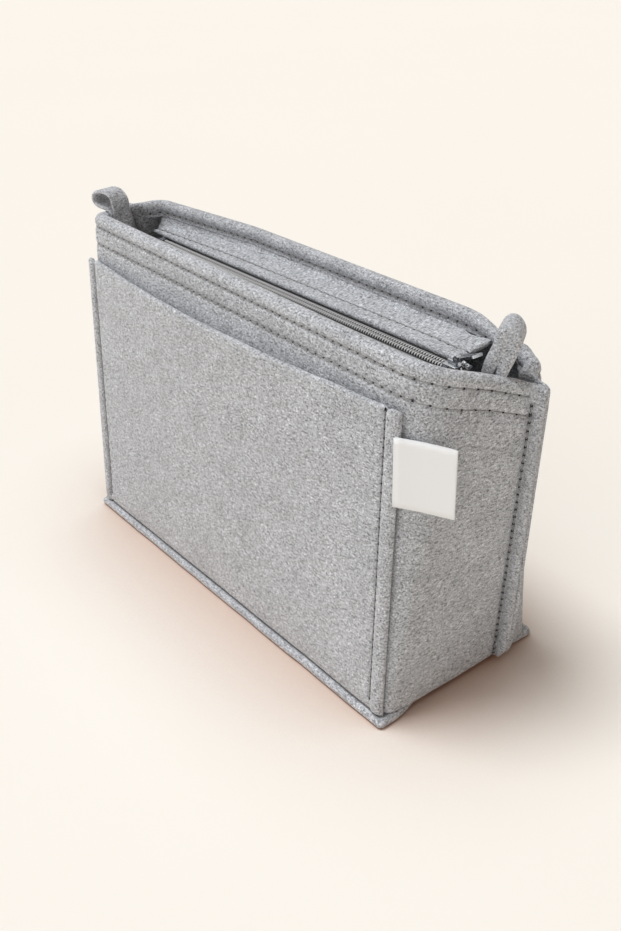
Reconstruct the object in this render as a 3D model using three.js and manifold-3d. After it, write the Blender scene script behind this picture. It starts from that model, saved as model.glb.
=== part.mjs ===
// A purse organizer insert: a soft felt box with a hemmed rim, pockets outside and inside, a zip
// across the top and a folded lifting loop at each side wall.
// Millimetres, +Z up, +X to the right along the length, +Y from the front to the back.
// The origin is on the floor, under the middle of the base.
import * as THREE from "three";
import { mergeVertices } from "three/addons/utils/BufferGeometryUtils.js";
import Module from "manifold-3d";

const wasm = await Module();
wasm.setup();

// Felt, and the clearance between pieces that lie against each other
const FELT = 3;
const CLEARANCE = 0.3;

// Base: its sewn edge stands out past the walls as a lip
const BASE_LENGTH = 264;
const BASE_DEPTH = 107;
const BASE_THICKNESS = 5;
const BASE_CORNER = 3;
const BASE_ROUND = 1.2;
const FRONT_LIP = 1.3;
const SIDE_LIP = 0.2;
const BOARD_THICKNESS = 2;
const BOARD_SPACE = 3;

// Walls: half the felt is on each side of these lines. A fold is the length on either side of a
// corner over which the corner is rounded. The rim is drawn in from the ends of the base, or flares
// out past them.
const FOOT_FOLD = 4;
const RIM_HEIGHT = 184;
const RIM_DROP_RIGHT = 4;
const FRONT_LEAN = 9;
const RIM_DRAW_LEFT = 4;
const RIM_FLARE_RIGHT = 7;
const RIM_DEPTH_LEFT = 44;
const RIM_DEPTH_RIGHT = 60;
const RIM_FOLD_LEFT = 6;
const RIM_FOLD_RIGHT = 19;

// Side seams, where the two wraps meet and both turn outward
const SEAM_FROM_FRONT = 72.4;
const SEAM_MARGIN = 5;
const SEAM_FOLD = 3.4;
const SEAM_RIM_FOLD = 2.6;
const RIGHT_SEAM_FLARE = 16;
const RIGHT_SEAM_FROM_FRONT = 53.5;
const RIGHT_SEAM_DIP = 22;
const RIGHT_SEAM_TURN = 20;
const LEFT_SEAM_FLARE = 1;
const LEFT_SEAM_FROM_FRONT = 23.5;
const LEFT_SEAM_DIP = 6;

// Rear corners and the back wall's rim
const REAR_FOLD_LEFT = 10;
const REAR_FOLD_RIGHT = 6;
const REAR_DRAW_LEFT = 1;
const REAR_DRAW_RIGHT = 2;
const REAR_DIP_RIGHT = 12;
const REAR_FLARE = 9;
const REAR_FLARE_LENGTH = 22;
const BACK_SWELL = 6;
const BACK_SWELL_FROM_LEFT = 79;
const BACK_BEND = 8;

// Hem round the rim
const HEM_HEIGHT = 8;
const HEM_STEP = 1;
const HEM_SWELL = 0.8;
const HEM_SHOULDER = 1.2;
const HEM_ROUND = 1.4;
const HEM_END = 5;

// Outside and inside pockets: their insets are from the ends of the base
const POCKET_INSET = 2;
const POCKET_TOP = 160;
const POCKET_BOW = 9;
const BOW_POWER = 1.6;
const BACK_POCKET_INSET_LEFT = 20;
const BACK_POCKET_INSET_RIGHT = 10;
const INNER_POCKET_INSET = 24;
const INNER_POCKET_TOP = 112;
const INNER_POCKET_BOW = 8;

// Zip: tapes under the flaps, two rows of teeth with a slit between them. The insets are from the
// rim of the walls at each end.
const ZIP_FROM_FRONT = 40.4;
const ZIP_DEPTH = 18;
const ZIP_INSET_LEFT = 23;
const ZIP_INSET_RIGHT = 17.28;
const FLAP_INSET_LEFT = 19;
const FLAP_INSET_RIGHT = 24;
const FLAP_SETBACK = 5.6;
const TAPE_WIDTH = 10;
const TAPE_THICKNESS = 0.8;
const TAPE_END = 2.4;
const TAPE_SLANT = 19;
const TOOTH_PITCH = 2.4;
const TOOTH_WIDTH = 1.3;
const TOOTH_LENGTH = 1.6;
const TOOTH_HEIGHT = 2.4;
const TOOTH_SPINE = 0.7;
const ROW_SLIT = 1;
const STOP_LENGTH = 2;
const STOP_HEIGHT = 3;

// Slider and pull
const SLIDER_LENGTH = 9;
const SLIDER_HALF_WIDTH = 4.6;
const SLIDER_CORNER = 1.6;
const PLATE_THICKNESS = 1.1;
const LIP_WIDTH = 1.1;
const LUG_LENGTH = 3;
const LUG_WIDTH = 1;
const PIN_RADIUS = 0.55;
const PIN_CLEARANCE = 0.3;
const PULL_ROOT_RADIUS = 1.6;
const PULL_ROOT_WIDTH = 2.4;
const PULL_LENGTH = 13;
const PULL_WIDTH = 6;
const PULL_THICKNESS = 1.2;
const PULL_RIM = 1.4;
const PULL_NECK = 5;
const PULL_TILT = 25;

// Loops and label: each loop's root lies a depth below the rim
const LOOP_WIDTH = 17;
const LOOP_HOLLOW = 4.6;
const LOOP_GAP = 0.4;
const LEFT_LOOP_DEPTH = 15.5;
const LEFT_LOOP_RISE = 24;
const LEFT_LOOP_STRAIGHT = 14;
const LEFT_LOOP_LEAN = 8;
const LEFT_LOOP_FROM_FRONT = 17;
const RIGHT_LOOP_DEPTH = 24;
const RIGHT_LOOP_RISE = 27;
const RIGHT_LOOP_STRAIGHT = 12;
const RIGHT_LOOP_LEAN = 6;
const RIGHT_LOOP_FROM_FRONT = 46;
const LABEL_WIDTH = 27;
const LABEL_HEIGHT = 32;
const LABEL_THICKNESS = 1.4;
const LABEL_BOTTOM = 117;
const LABEL_FROM_WING = 43.6;

// Counts
const SIDE_STEPS = 7;
const FOLD_STEPS = 6;
const PANEL_STEPS = 16;
const ROUND_STEPS = 12;

// Places that follow from the sizes above
const footZ = BASE_THICKNESS + CLEARANCE;
const footY = BASE_DEPTH / 2 - FRONT_LIP - FELT - CLEARANCE - FELT / 2;
const rimFrontY = FRONT_LEAN - footY;
const zipY = ZIP_FROM_FRONT - footY;
const zipZ = RIM_HEIGHT - ZIP_DEPTH;
const seamSpacing = FELT + CLEARANCE;
const baseEnd = BASE_LENGTH / 2;
const footX = baseEnd - SIDE_LIP - FELT / 2;
const rimHeightRight = RIM_HEIGHT - RIM_DROP_RIGHT;
const leftSeamReach = baseEnd + LEFT_SEAM_FLARE;
const rearReachLeft = baseEnd - REAR_DRAW_LEFT;
const rearReachRight = baseEnd - REAR_DRAW_RIGHT;

const { degToRad, lerp, clamp } = THREE.MathUtils;

// Points of one solid closer than this are one point
const MERGE_DISTANCE = 1e-4;

// Surfaces
function finish(color, roughness, metalness = 0) {
  return new THREE.MeshStandardMaterial({ color, roughness, metalness, side: THREE.FrontSide });
}

const felt = finish(0xb2b2b4, 0.95);
const tape = finish(0x8f8f92, 0.85);
const metal = finish(0xc9c9cd, 0.3, 0.9);
const woven = finish(0xf0efec, 0.7);
const board = finish(0xcfcac0, 0.8);

// Solids for cutting and joining
function solidOf(geometry) {
  const bare = geometry.clone();
  bare.deleteAttribute("normal");
  bare.deleteAttribute("uv");
  const merged = mergeVertices(bare, MERGE_DISTANCE);
  const vertProperties = new Float32Array(merged.attributes.position.array);
  const triVerts = new Uint32Array(merged.index.array);
  return new wasm.Manifold(new wasm.Mesh({ numProp: 3, vertProperties, triVerts }));
}

function geometryOf(solid) {
  const { vertProperties, triVerts } = solid.getMesh();
  const geometry = new THREE.BufferGeometry();
  geometry.setAttribute("position", new THREE.BufferAttribute(new Float32Array(vertProperties), 3));
  geometry.setIndex(new THREE.BufferAttribute(new Uint32Array(triVerts), 1));
  geometry.computeVertexNormals();
  return geometry;
}

function block(x0, x1, y0, y1, z0, z1) {
  const geometry = new THREE.BoxGeometry(x1 - x0, y1 - y0, z1 - z0);
  geometry.translate((x0 + x1) / 2, (y0 + y1) / 2, (z0 + z1) / 2);
  return geometry;
}

function roundedRectangle(length, width, corner) {
  const shape = new THREE.Shape();
  const x = length / 2;
  const y = width / 2;
  shape.moveTo(corner - x, -y);
  shape.lineTo(x - corner, -y);
  shape.absarc(x - corner, corner - y, corner, -Math.PI / 2, 0);
  shape.lineTo(x, y - corner);
  shape.absarc(x - corner, y - corner, corner, 0, Math.PI / 2);
  shape.lineTo(corner - x, y);
  shape.absarc(corner - x, y - corner, corner, Math.PI / 2, Math.PI);
  shape.lineTo(-x, corner - y);
  shape.absarc(corner - x, corner - y, corner, Math.PI, Math.PI * 1.5);
  return shape;
}

// A closed sheet between two grids of points, each a list of columns that run up the sheet
function closedSheet(outer, inner) {
  const columns = outer.length;
  const rows = outer[0].length;
  const positions = [];
  for (const grid of [outer, inner]) {
    for (const column of grid) {
      for (const point of column) positions.push(point.x, point.y, point.z);
    }
  }
  const at = (side, i, j) => side * columns * rows + i * rows + j;
  const index = [];
  const quad = (a, b, c, d) => index.push(a, b, c, a, c, d);
  for (let i = 0; i + 1 < columns; i++) {
    for (let j = 0; j + 1 < rows; j++) {
      quad(at(0, i, j), at(0, i + 1, j), at(0, i + 1, j + 1), at(0, i, j + 1));
      quad(at(1, i, j), at(1, i, j + 1), at(1, i + 1, j + 1), at(1, i + 1, j));
    }
    quad(at(0, i, 0), at(1, i, 0), at(1, i + 1, 0), at(0, i + 1, 0));
    quad(at(0, i, rows - 1), at(0, i + 1, rows - 1), at(1, i + 1, rows - 1), at(1, i, rows - 1));
  }
  for (let j = 0; j + 1 < rows; j++) {
    quad(at(0, 0, j), at(0, 0, j + 1), at(1, 0, j + 1), at(1, 0, j));
    const last = columns - 1;
    quad(at(0, last, j), at(1, last, j), at(1, last, j + 1), at(0, last, j + 1));
  }
  const geometry = new THREE.BufferGeometry();
  geometry.setAttribute("position", new THREE.Float32BufferAttribute(positions, 3));
  geometry.setIndex(index);
  geometry.computeVertexNormals();
  return geometry;
}

// Wall lines: corners and seams have a place and a fold at the foot and at the rim
function corner(footPlace, rimPlace, footFold, rimFold) {
  return { footPlace, rimPlace, footFold, rimFold };
}

const foot = (x, y) => new THREE.Vector3(x, y, footZ);
const rim = (x, y, z) => new THREE.Vector3(x, y, z);

// A line through the corners, each one rounded by its fold, and the stretch that each fold covers
function foldedLine(places, folds) {
  const turnStart = [];
  const turnEnd = [];
  places.forEach((place, k) => {
    const before = places[k - 1];
    const after = places[k + 1];
    const toward = (other) => {
      if (!other) return place.clone();
      return place.clone().lerp(other, folds[k] / place.distanceTo(other));
    };
    turnStart.push(toward(before));
    turnEnd.push(toward(after));
  });
  const line = [places[0].clone()];
  for (let k = 1; k < places.length; k++) {
    for (let s = 1; s <= SIDE_STEPS; s++) {
      line.push(turnEnd[k - 1].clone().lerp(turnStart[k], s / SIDE_STEPS));
    }
    if (k === places.length - 1) break;
    const curve = new THREE.QuadraticBezierCurve3(turnStart[k], places[k], turnEnd[k]);
    for (let s = 1; s <= FOLD_STEPS; s++) line.push(curve.getPoint(s / FOLD_STEPS));
  }
  return line;
}

function wallOf(corners) {
  return {
    foot: foldedLine(corners.map((c) => c.footPlace), corners.map((c) => c.footFold)),
    rim: foldedLine(corners.map((c) => c.rimPlace), corners.map((c) => c.rimFold)),
    foldMiddle: corners.map((c, k) => k * SIDE_STEPS + (k - 0.5) * FOLD_STEPS),
    foldStart: corners.map((c, k) => k * SIDE_STEPS + (k - 1) * FOLD_STEPS),
    foldEnd: corners.map((c, k) => k * (SIDE_STEPS + FOLD_STEPS)),
    seams: [1, corners.length - 2],
    faceEnds: [2, corners.length - 3],
  };
}

function onWall(wall, i, share) {
  return wall.foot[i].clone().lerp(wall.rim[i], share);
}

// The level direction that points out of the wall at one of its columns
function outward(wall, i, share) {
  const before = onWall(wall, Math.max(i - 1, 0), share);
  const after = onWall(wall, Math.min(i + 1, wall.rim.length - 1), share);
  const along = after.sub(before).setZ(0).normalize();
  return new THREE.Vector3(along.y, -along.x, 0);
}

// How far the wall's middle line lies from front to back at a place and height of its long face
function wallY(wall, x, z) {
  const [firstFold, lastFold] = wall.faceEnds;
  const from = Math.ceil(wall.foldMiddle[firstFold]);
  const to = Math.floor(wall.foldMiddle[lastFold]);
  const level = (i) => onWall(wall, i, (z - wall.foot[i].z) / (wall.rim[i].z - wall.foot[i].z));
  let nearest = level(from);
  for (let i = from; i < to; i++) {
    const a = level(i);
    const b = level(i + 1);
    if ((a.x - x) * (b.x - x) <= 0) return lerp(a.y, b.y, (x - a.x) / (b.x - a.x || 1));
    if (Math.abs(b.x - x) < Math.abs(nearest.x - x)) nearest = b;
  }
  return nearest.y;
}

// Rows of a wrap, from its foot to the top of its hem: how far up or below the rim each lies, and
// how much the hem adds on the inner and the outer side
const wrapRows = [
  { riseShare: 0, drop: 0, inside: 0, outside: 0 },
  { riseShare: 0.25, drop: 0, inside: 0, outside: 0 },
  { riseShare: 0.5, drop: 0, inside: 0, outside: 0 },
  { riseShare: 0.75, drop: 0, inside: 0, outside: 0 },
  { riseShare: 1, drop: HEM_HEIGHT + HEM_STEP, inside: 0, outside: 0 },
  { riseShare: 1, drop: HEM_HEIGHT, inside: FELT, outside: 0 },
  { riseShare: 1, drop: HEM_HEIGHT / 2, inside: FELT, outside: HEM_SWELL },
  { riseShare: 1, drop: HEM_SHOULDER, inside: FELT, outside: HEM_SWELL },
  { riseShare: 1, drop: 0, inside: FELT - HEM_ROUND, outside: HEM_SWELL - HEM_ROUND },
];

// The hem runs between the two seam folds and thins out just before them
function hemShare(wall, i) {
  const [first, last] = wall.seams;
  if (i <= wall.foldEnd[first] || i >= wall.foldStart[last]) return 0;
  const past = wall.rim[i].distanceTo(wall.rim[wall.foldEnd[first]]);
  const left = wall.rim[i].distanceTo(wall.rim[wall.foldStart[last]]);
  return clamp(Math.min(past, left) / HEM_END, 0, 1);
}

function wrapSheet(wall) {
  const outer = [];
  const inner = [];
  wall.rim.forEach((top, i) => {
    const hem = hemShare(wall, i);
    const height = top.z - wall.foot[i].z;
    const columns = wrapRows.map((row) => {
      const share = row.riseShare - row.drop / height;
      const middle = onWall(wall, i, share);
      const out = outward(wall, i, share);
      return {
        outerPoint: middle.clone().addScaledVector(out, FELT / 2 + row.outside * hem),
        innerPoint: middle.clone().addScaledVector(out, -FELT / 2 - row.inside * hem),
      };
    });
    outer.push(columns.map((c) => c.outerPoint));
    inner.push(columns.map((c) => c.innerPoint));
  });
  return closedSheet(outer, inner);
}

// The seam's place, its margin's end, and the same for the wrap behind it
function seamEnds(place, turn) {
  const along = new THREE.Vector3(Math.cos(turn), Math.sin(turn), 0);
  const behind = new THREE.Vector3(-along.y, along.x, 0);
  if (along.x < 0) behind.negate();
  const reach = SEAM_MARGIN + SEAM_FOLD;
  const rear = place.clone().addScaledVector(behind, seamSpacing);
  return {
    place,
    end: place.clone().addScaledVector(along, reach),
    rear,
    rearEnd: rear.clone().addScaledVector(along, reach),
  };
}

const seamFootY = SEAM_FROM_FRONT - footY;
const rightFoot = seamEnds(foot(footX, seamFootY), 0);
const leftFoot = seamEnds(foot(-footX, seamFootY), Math.PI);
const rightRim = seamEnds(
  rim(baseEnd + RIGHT_SEAM_FLARE, rimFrontY + RIGHT_SEAM_FROM_FRONT, rimHeightRight - RIGHT_SEAM_DIP),
  degToRad(RIGHT_SEAM_TURN),
);
const leftRim = seamEnds(
  rim(-leftSeamReach, rimFrontY + LEFT_SEAM_FROM_FRONT, RIM_HEIGHT - LEFT_SEAM_DIP),
  Math.PI,
);

const frontLeftRim = rim(RIM_DRAW_LEFT - baseEnd, rimFrontY, RIM_HEIGHT);
const frontRightRim = rim(baseEnd + RIM_FLARE_RIGHT, rimFrontY, rimHeightRight);

const frontWall = wallOf([
  corner(leftFoot.end, leftRim.end, 0, 0),
  corner(leftFoot.place, leftRim.place, SEAM_FOLD, SEAM_RIM_FOLD),
  corner(foot(-footX, -footY), frontLeftRim, FOOT_FOLD, RIM_FOLD_LEFT),
  corner(foot(footX, -footY), frontRightRim, FOOT_FOLD, RIM_FOLD_RIGHT),
  corner(rightFoot.place, rightRim.place, SEAM_FOLD, SEAM_RIM_FOLD),
  corner(rightFoot.end, rightRim.end, 0, 0),
]);

const flareX = rearReachRight - REAR_FLARE_LENGTH;
const swellX = BACK_SWELL_FROM_LEFT - rearReachLeft;
const rimRearRightY = rimFrontY + RIM_DEPTH_RIGHT;
const rimRearLeftY = rimFrontY + RIM_DEPTH_LEFT;
const swellShare = BACK_SWELL_FROM_LEFT / (rearReachLeft + flareX);
const swellY = lerp(rimRearLeftY, rimRearRightY, swellShare) + BACK_SWELL;
const swellZ = lerp(RIM_HEIGHT, rimHeightRight, swellShare);
const rearRightRim = rim(rearReachRight, rimRearRightY + REAR_FLARE, rimHeightRight - REAR_DIP_RIGHT);
const rearLeftRim = rim(-rearReachLeft, rimRearLeftY, RIM_HEIGHT);

const backWall = wallOf([
  corner(rightFoot.rearEnd, rightRim.rearEnd, 0, 0),
  corner(rightFoot.rear, rightRim.rear, SEAM_FOLD, SEAM_RIM_FOLD),
  corner(foot(footX, footY), rearRightRim, FOOT_FOLD, REAR_FOLD_RIGHT),
  corner(foot(flareX, footY), rim(flareX, rimRearRightY, rimHeightRight), BACK_BEND, BACK_BEND),
  corner(foot(swellX, footY), rim(swellX, swellY, swellZ), BACK_BEND, BACK_BEND),
  corner(foot(-footX, footY), rearLeftRim, FOOT_FOLD, REAR_FOLD_LEFT),
  corner(leftFoot.rear, leftRim.rear, SEAM_FOLD, SEAM_RIM_FOLD),
  corner(leftFoot.rearEnd, leftRim.rearEnd, 0, 0),
]);

const frontY = (x, z) => wallY(frontWall, x, z);
const backY = (x, z) => wallY(backWall, x, z);

// The place on a wing's rim, between its corner and its seam, at a distance from front to back
function wingRim(cornerPlace, seamPlace, y) {
  return cornerPlace.clone().lerp(seamPlace, (y - cornerPlace.y) / (seamPlace.y - cornerPlace.y));
}

const zipLeft = leftSeamReach - ZIP_INSET_LEFT;
const zipRight = wingRim(frontRightRim, rightRim.place, zipY).x - ZIP_INSET_RIGHT;

// Base
function basePanel() {
  const shape = roundedRectangle(BASE_LENGTH - 2 * BASE_ROUND, BASE_DEPTH - 2 * BASE_ROUND, BASE_CORNER);
  const geometry = new THREE.ExtrudeGeometry(shape, {
    depth: BASE_THICKNESS - 2 * BASE_ROUND,
    bevelEnabled: true,
    bevelThickness: BASE_ROUND,
    bevelSize: BASE_ROUND,
    bevelSegments: 2,
    curveSegments: 3,
  });
  geometry.translate(0, 0, BASE_ROUND);
  return geometry;
}

function baseStiffener() {
  const x = footX - FELT / 2 - BOARD_SPACE;
  const y = footY - FELT / 2 - BOARD_SPACE;
  return block(-x, x, -y, y, footZ, footZ + BOARD_THICKNESS);
}

// A felt panel sewn flat on a wall at its foot and sides, with its top edge bowed away.
// side is -1 towards the front and 1 towards the back.
function wallPanel({ left, right, bottom, top, bow, side, lineY }) {
  const rowShares = [0, 0.2, 0.4, 0.6, 0.8, 1];
  const near = [];
  const far = [];
  for (let i = 0; i <= PANEL_STEPS; i++) {
    const share = i / PANEL_STEPS;
    const x = lerp(left, right, share);
    const across = 1 - (2 * share - 1) ** 2;
    const middles = rowShares.map((rise) => {
      const z = lerp(bottom, top, rise);
      const lift = FELT + CLEARANCE + bow * across * rise ** BOW_POWER;
      return new THREE.Vector3(x, lineY(x, z) + side * lift, z);
    });
    near.push(middles.map((p) => p.clone().setY(p.y + (side * FELT) / 2)));
    far.push(middles.map((p) => p.clone().setY(p.y - (side * FELT) / 2)));
  }
  return side < 0 ? closedSheet(near, far) : closedSheet(far, near);
}

const frontPlaneY = (x, z) => lerp(-footY, rimFrontY, (z - footZ) / (rimHeightRight - footZ));

const pocketEnd = baseEnd - POCKET_INSET;

function frontPocket() {
  return wallPanel({
    left: -pocketEnd,
    right: pocketEnd,
    bottom: footZ + CLEARANCE,
    top: POCKET_TOP,
    bow: POCKET_BOW,
    side: -1,
    lineY: frontPlaneY,
  });
}

function backPocket() {
  return wallPanel({
    left: BACK_POCKET_INSET_LEFT - baseEnd,
    right: baseEnd - BACK_POCKET_INSET_RIGHT,
    bottom: footZ + CLEARANCE,
    top: POCKET_TOP,
    bow: POCKET_BOW,
    side: 1,
    lineY: backY,
  });
}

function innerPocket(side, lineY) {
  const half = baseEnd - INNER_POCKET_INSET;
  return wallPanel({
    left: -half,
    right: half,
    bottom: footZ + BOARD_THICKNESS + CLEARANCE,
    top: INNER_POCKET_TOP,
    bow: INNER_POCKET_BOW,
    side,
    lineY,
  });
}

// Zip flaps run from a wall's inner face to the zip, on top of the tape
function zipFlap(side, lineY) {
  const left = FLAP_INSET_LEFT - rearReachLeft;
  const right = rearReachRight - FLAP_INSET_RIGHT;
  const bottom = zipZ + TAPE_THICKNESS / 2 + CLEARANCE;
  const grids = [bottom + FELT, bottom].map((z) => {
    const columns = [];
    for (let i = 0; i <= PANEL_STEPS; i++) {
      const x = lerp(left, right, i / PANEL_STEPS);
      const wallEdge = lineY(x, z) - side * (FELT / 2 + CLEARANCE);
      const edges = [zipY + side * FLAP_SETBACK, wallEdge].sort((a, b) => a - b);
      columns.push(edges.map((y) => new THREE.Vector3(x, y, z)));
    }
    return columns;
  });
  return closedSheet(...grids);
}

// Teeth: each row is a comb whose spine clamps the edge of its tape
const rowInner = ROW_SLIT / 2;
const rowOuter = rowInner + TOOTH_LENGTH + TOOTH_SPINE;
const tapeInner = rowOuter + CLEARANCE;
const toothCount = Math.round((zipRight + zipLeft) / TOOTH_PITCH);
const toothSpacing = (zipRight + zipLeft) / toothCount;

// The tape's right end is cut on a slant, which leaves the loop room to fall inward
function zipTape(side) {
  const near = zipY + side * tapeInner;
  const far = near + side * TAPE_WIDTH;
  const right = zipRight + TAPE_END;
  const left = -zipLeft - TAPE_END;
  const shape = new THREE.Shape();
  shape.moveTo(left, near);
  shape.lineTo(right, near);
  shape.lineTo(right - TAPE_SLANT, far);
  shape.lineTo(left, far);
  const geometry = new THREE.ExtrudeGeometry(shape, { depth: TAPE_THICKNESS, bevelEnabled: false });
  geometry.translate(0, 0, zipZ - TAPE_THICKNESS / 2);
  return geometry;
}

function zipTeeth(side) {
  const root = zipY + side * (rowInner + TOOTH_LENGTH);
  const tip = zipY + side * rowInner;
  const back = zipY + side * rowOuter;
  const shape = new THREE.Shape();
  shape.moveTo(-zipLeft, back);
  for (let n = 0; n < toothCount; n++) {
    const x = n * toothSpacing - zipLeft;
    shape.lineTo(x, n === 0 ? tip : root);
    if (n > 0) shape.lineTo(x, tip);
    shape.lineTo(x + TOOTH_WIDTH, tip);
    shape.lineTo(x + TOOTH_WIDTH, root);
  }
  shape.lineTo(zipRight, root);
  shape.lineTo(zipRight, back);
  const geometry = new THREE.ExtrudeGeometry(shape, { depth: TOOTH_HEIGHT, bevelEnabled: false });
  geometry.translate(0, 0, zipZ - TOOTH_HEIGHT / 2);
  return geometry;
}

function topStop(side) {
  const edges = [zipY + side * rowInner, zipY + side * rowOuter];
  const x = zipRight + CLEARANCE;
  const z = STOP_HEIGHT / 2;
  return block(x, x + STOP_LENGTH, Math.min(...edges), Math.max(...edges), zipZ - z, zipZ + z);
}

function bottomStop() {
  const x = -zipLeft - CLEARANCE;
  const z = STOP_HEIGHT / 2;
  return block(x - STOP_LENGTH, x, zipY - rowOuter, zipY + rowOuter, zipZ - z, zipZ + z);
}

// Slider: two plates joined by a web in the slit between the rows, lips down to the tapes,
// and two lugs that hold the pull's pin
const plateFrom = TOOTH_HEIGHT / 2 + CLEARANCE;
const plateTop = plateFrom + PLATE_THICKNESS;
const sliderX = zipRight - SLIDER_LENGTH / 2;
const pinX = sliderX + SLIDER_LENGTH / 4;
const pinZ = plateTop + PULL_ROOT_RADIUS + CLEARANCE;
const lugInner = PULL_ROOT_WIDTH / 2 + CLEARANCE;

function pinGeometry(radius, length) {
  return new THREE.CylinderGeometry(radius, radius, length, ROUND_STEPS);
}

function zipSlider() {
  const plate = new THREE.ExtrudeGeometry(
    roundedRectangle(SLIDER_LENGTH, 2 * SLIDER_HALF_WIDTH, SLIDER_CORNER),
    { depth: PLATE_THICKNESS, bevelEnabled: false, curveSegments: 3 },
  );
  const upper = solidOf(plate).translate([0, 0, plateFrom]);
  const lower = solidOf(plate).translate([0, 0, -plateTop]);
  const web = ROW_SLIT / 2 - CLEARANCE;
  const half = SLIDER_LENGTH / 2 - SLIDER_CORNER;
  let body = upper.add(lower).add(solidOf(block(-half, half, -web, web, -plateFrom, plateFrom)));
  const lipFrom = TAPE_THICKNESS / 2 + CLEARANCE;
  for (const side of [-1, 1]) {
    const a = side * (SLIDER_HALF_WIDTH - LIP_WIDTH);
    const b = side * SLIDER_HALF_WIDTH;
    const edges = [Math.min(a, b), Math.max(a, b)];
    body = body.add(solidOf(block(-half, half, ...edges, lipFrom, plateTop)));
    body = body.add(solidOf(block(-half, half, ...edges, -plateTop, -lipFrom)));
    const lug = [side * lugInner, side * (lugInner + LUG_WIDTH)];
    const x = pinX - sliderX;
    const lugBlock = block(
      x - LUG_LENGTH / 2,
      x + LUG_LENGTH / 2,
      Math.min(...lug),
      Math.max(...lug),
      plateFrom,
      pinZ + LUG_WIDTH,
    );
    body = body.add(solidOf(lugBlock));
  }
  const pin = pinGeometry(PIN_RADIUS, 2 * lugInner + LUG_WIDTH);
  pin.translate(pinX - sliderX, 0, pinZ);
  return geometryOf(body.add(solidOf(pin)));
}

// The pull lies along +X from its pin before it is tilted up
function zipPull() {
  const halfThickness = PULL_THICKNESS / 2;
  const halfRoot = PULL_ROOT_WIDTH / 2;
  let tab = solidOf(pinGeometry(PULL_ROOT_RADIUS, PULL_ROOT_WIDTH));
  tab = tab.add(solidOf(block(0, PULL_NECK, -halfRoot, halfRoot, -halfThickness, halfThickness)));
  const frameLength = PULL_LENGTH - PULL_NECK + PULL_RIM;
  const frame = new THREE.ExtrudeGeometry(roundedRectangle(frameLength, PULL_WIDTH, PULL_RIM), {
    depth: PULL_THICKNESS,
    bevelEnabled: false,
    curveSegments: 3,
  });
  frame.translate(PULL_LENGTH - frameLength / 2, 0, -halfThickness);
  tab = tab.add(solidOf(frame));
  const opening = block(
    PULL_NECK,
    PULL_LENGTH - PULL_RIM,
    PULL_RIM - PULL_WIDTH / 2,
    PULL_WIDTH / 2 - PULL_RIM,
    -PULL_THICKNESS,
    PULL_THICKNESS,
  );
  tab = tab.subtract(solidOf(opening));
  return geometryOf(tab.subtract(solidOf(pinGeometry(PIN_RADIUS + PIN_CLEARANCE, PULL_WIDTH))));
}

// A strap folded into two legs with a hollow between them; it stands on z = 0, goes straight up
// and then leans to one side
function loopGeometry({ rise, straight, lean }) {
  const outerHalf = FELT + LOOP_HOLLOW / 2;
  const innerHalf = LOOP_HOLLOW / 2;
  const middle = new THREE.QuadraticBezierCurve(
    new THREE.Vector2(0, straight),
    new THREE.Vector2(0, (straight + rise) / 2),
    new THREE.Vector2(lean, rise),
  );
  const leg = (half, side) => {
    const points = [new THREE.Vector2(half * side, 0)];
    for (let s = 0; s <= SIDE_STEPS; s++) {
      const share = s / SIDE_STEPS;
      const along = middle.getTangent(share);
      const across = new THREE.Vector2(along.y, -along.x);
      points.push(middle.getPoint(share).addScaledVector(across, half * side));
    }
    return points;
  };
  const bend = (half) => {
    const along = middle.getTangent(1);
    const across = new THREE.Vector2(along.y, -along.x);
    const points = [];
    for (let s = 1; s < ROUND_STEPS / 2; s++) {
      const angle = (2 * Math.PI * s) / ROUND_STEPS;
      const point = middle.getPoint(1).addScaledVector(across, half * Math.cos(angle));
      points.push(point.addScaledVector(along, half * Math.sin(angle)));
    }
    return points;
  };
  const outline = [
    ...leg(outerHalf, 1),
    ...bend(outerHalf),
    ...leg(outerHalf, -1).reverse(),
    ...leg(innerHalf, -1),
    ...bend(innerHalf).reverse(),
    ...leg(innerHalf, 1).reverse(),
  ];
  const geometry = new THREE.ExtrudeGeometry(new THREE.Shape(outline), {
    depth: LOOP_WIDTH,
    bevelEnabled: false,
  });
  geometry.translate(0, 0, -LOOP_WIDTH / 2);
  geometry.rotateX(Math.PI / 2);
  return geometry;
}

function sideLabel() {
  const shape = new THREE.Shape();
  const half = LABEL_THICKNESS / 2;
  shape.moveTo(0, -half);
  shape.lineTo(LABEL_WIDTH - half, -half);
  shape.absarc(LABEL_WIDTH - half, 0, half, -Math.PI / 2, Math.PI / 2);
  shape.lineTo(0, half);
  return new THREE.ExtrudeGeometry(shape, { depth: LABEL_HEIGHT, bevelEnabled: false, curveSegments: 6 });
}

// Assembly
const group = new THREE.Group();

function piece(name, geometry, material) {
  const mesh = new THREE.Mesh(geometry, material);
  mesh.name = name;
  group.add(mesh);
  return mesh;
}

piece("base_panel", basePanel(), felt);
piece("base_stiffener", baseStiffener(), board);
piece("front_wrap", wrapSheet(frontWall), felt);
piece("back_wrap", wrapSheet(backWall), felt);
piece("front_pocket", frontPocket(), felt);
piece("back_pocket", backPocket(), felt);
piece("inner_front_pocket", innerPocket(1, frontY), felt);
piece("inner_back_pocket", innerPocket(-1, backY), felt);
piece("front_zip_flap", zipFlap(-1, frontY), felt);
piece("back_zip_flap", zipFlap(1, backY), felt);
piece("front_zip_tape", zipTape(-1), tape);
piece("back_zip_tape", zipTape(1), tape);
piece("front_zip_teeth", zipTeeth(-1), metal);
piece("back_zip_teeth", zipTeeth(1), metal);
piece("front_top_stop", topStop(-1), metal);
piece("back_top_stop", topStop(1), metal);
piece("bottom_stop", bottomStop(), metal);
piece("zip_slider", zipSlider(), metal).position.set(sliderX, zipY, zipZ);

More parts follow.
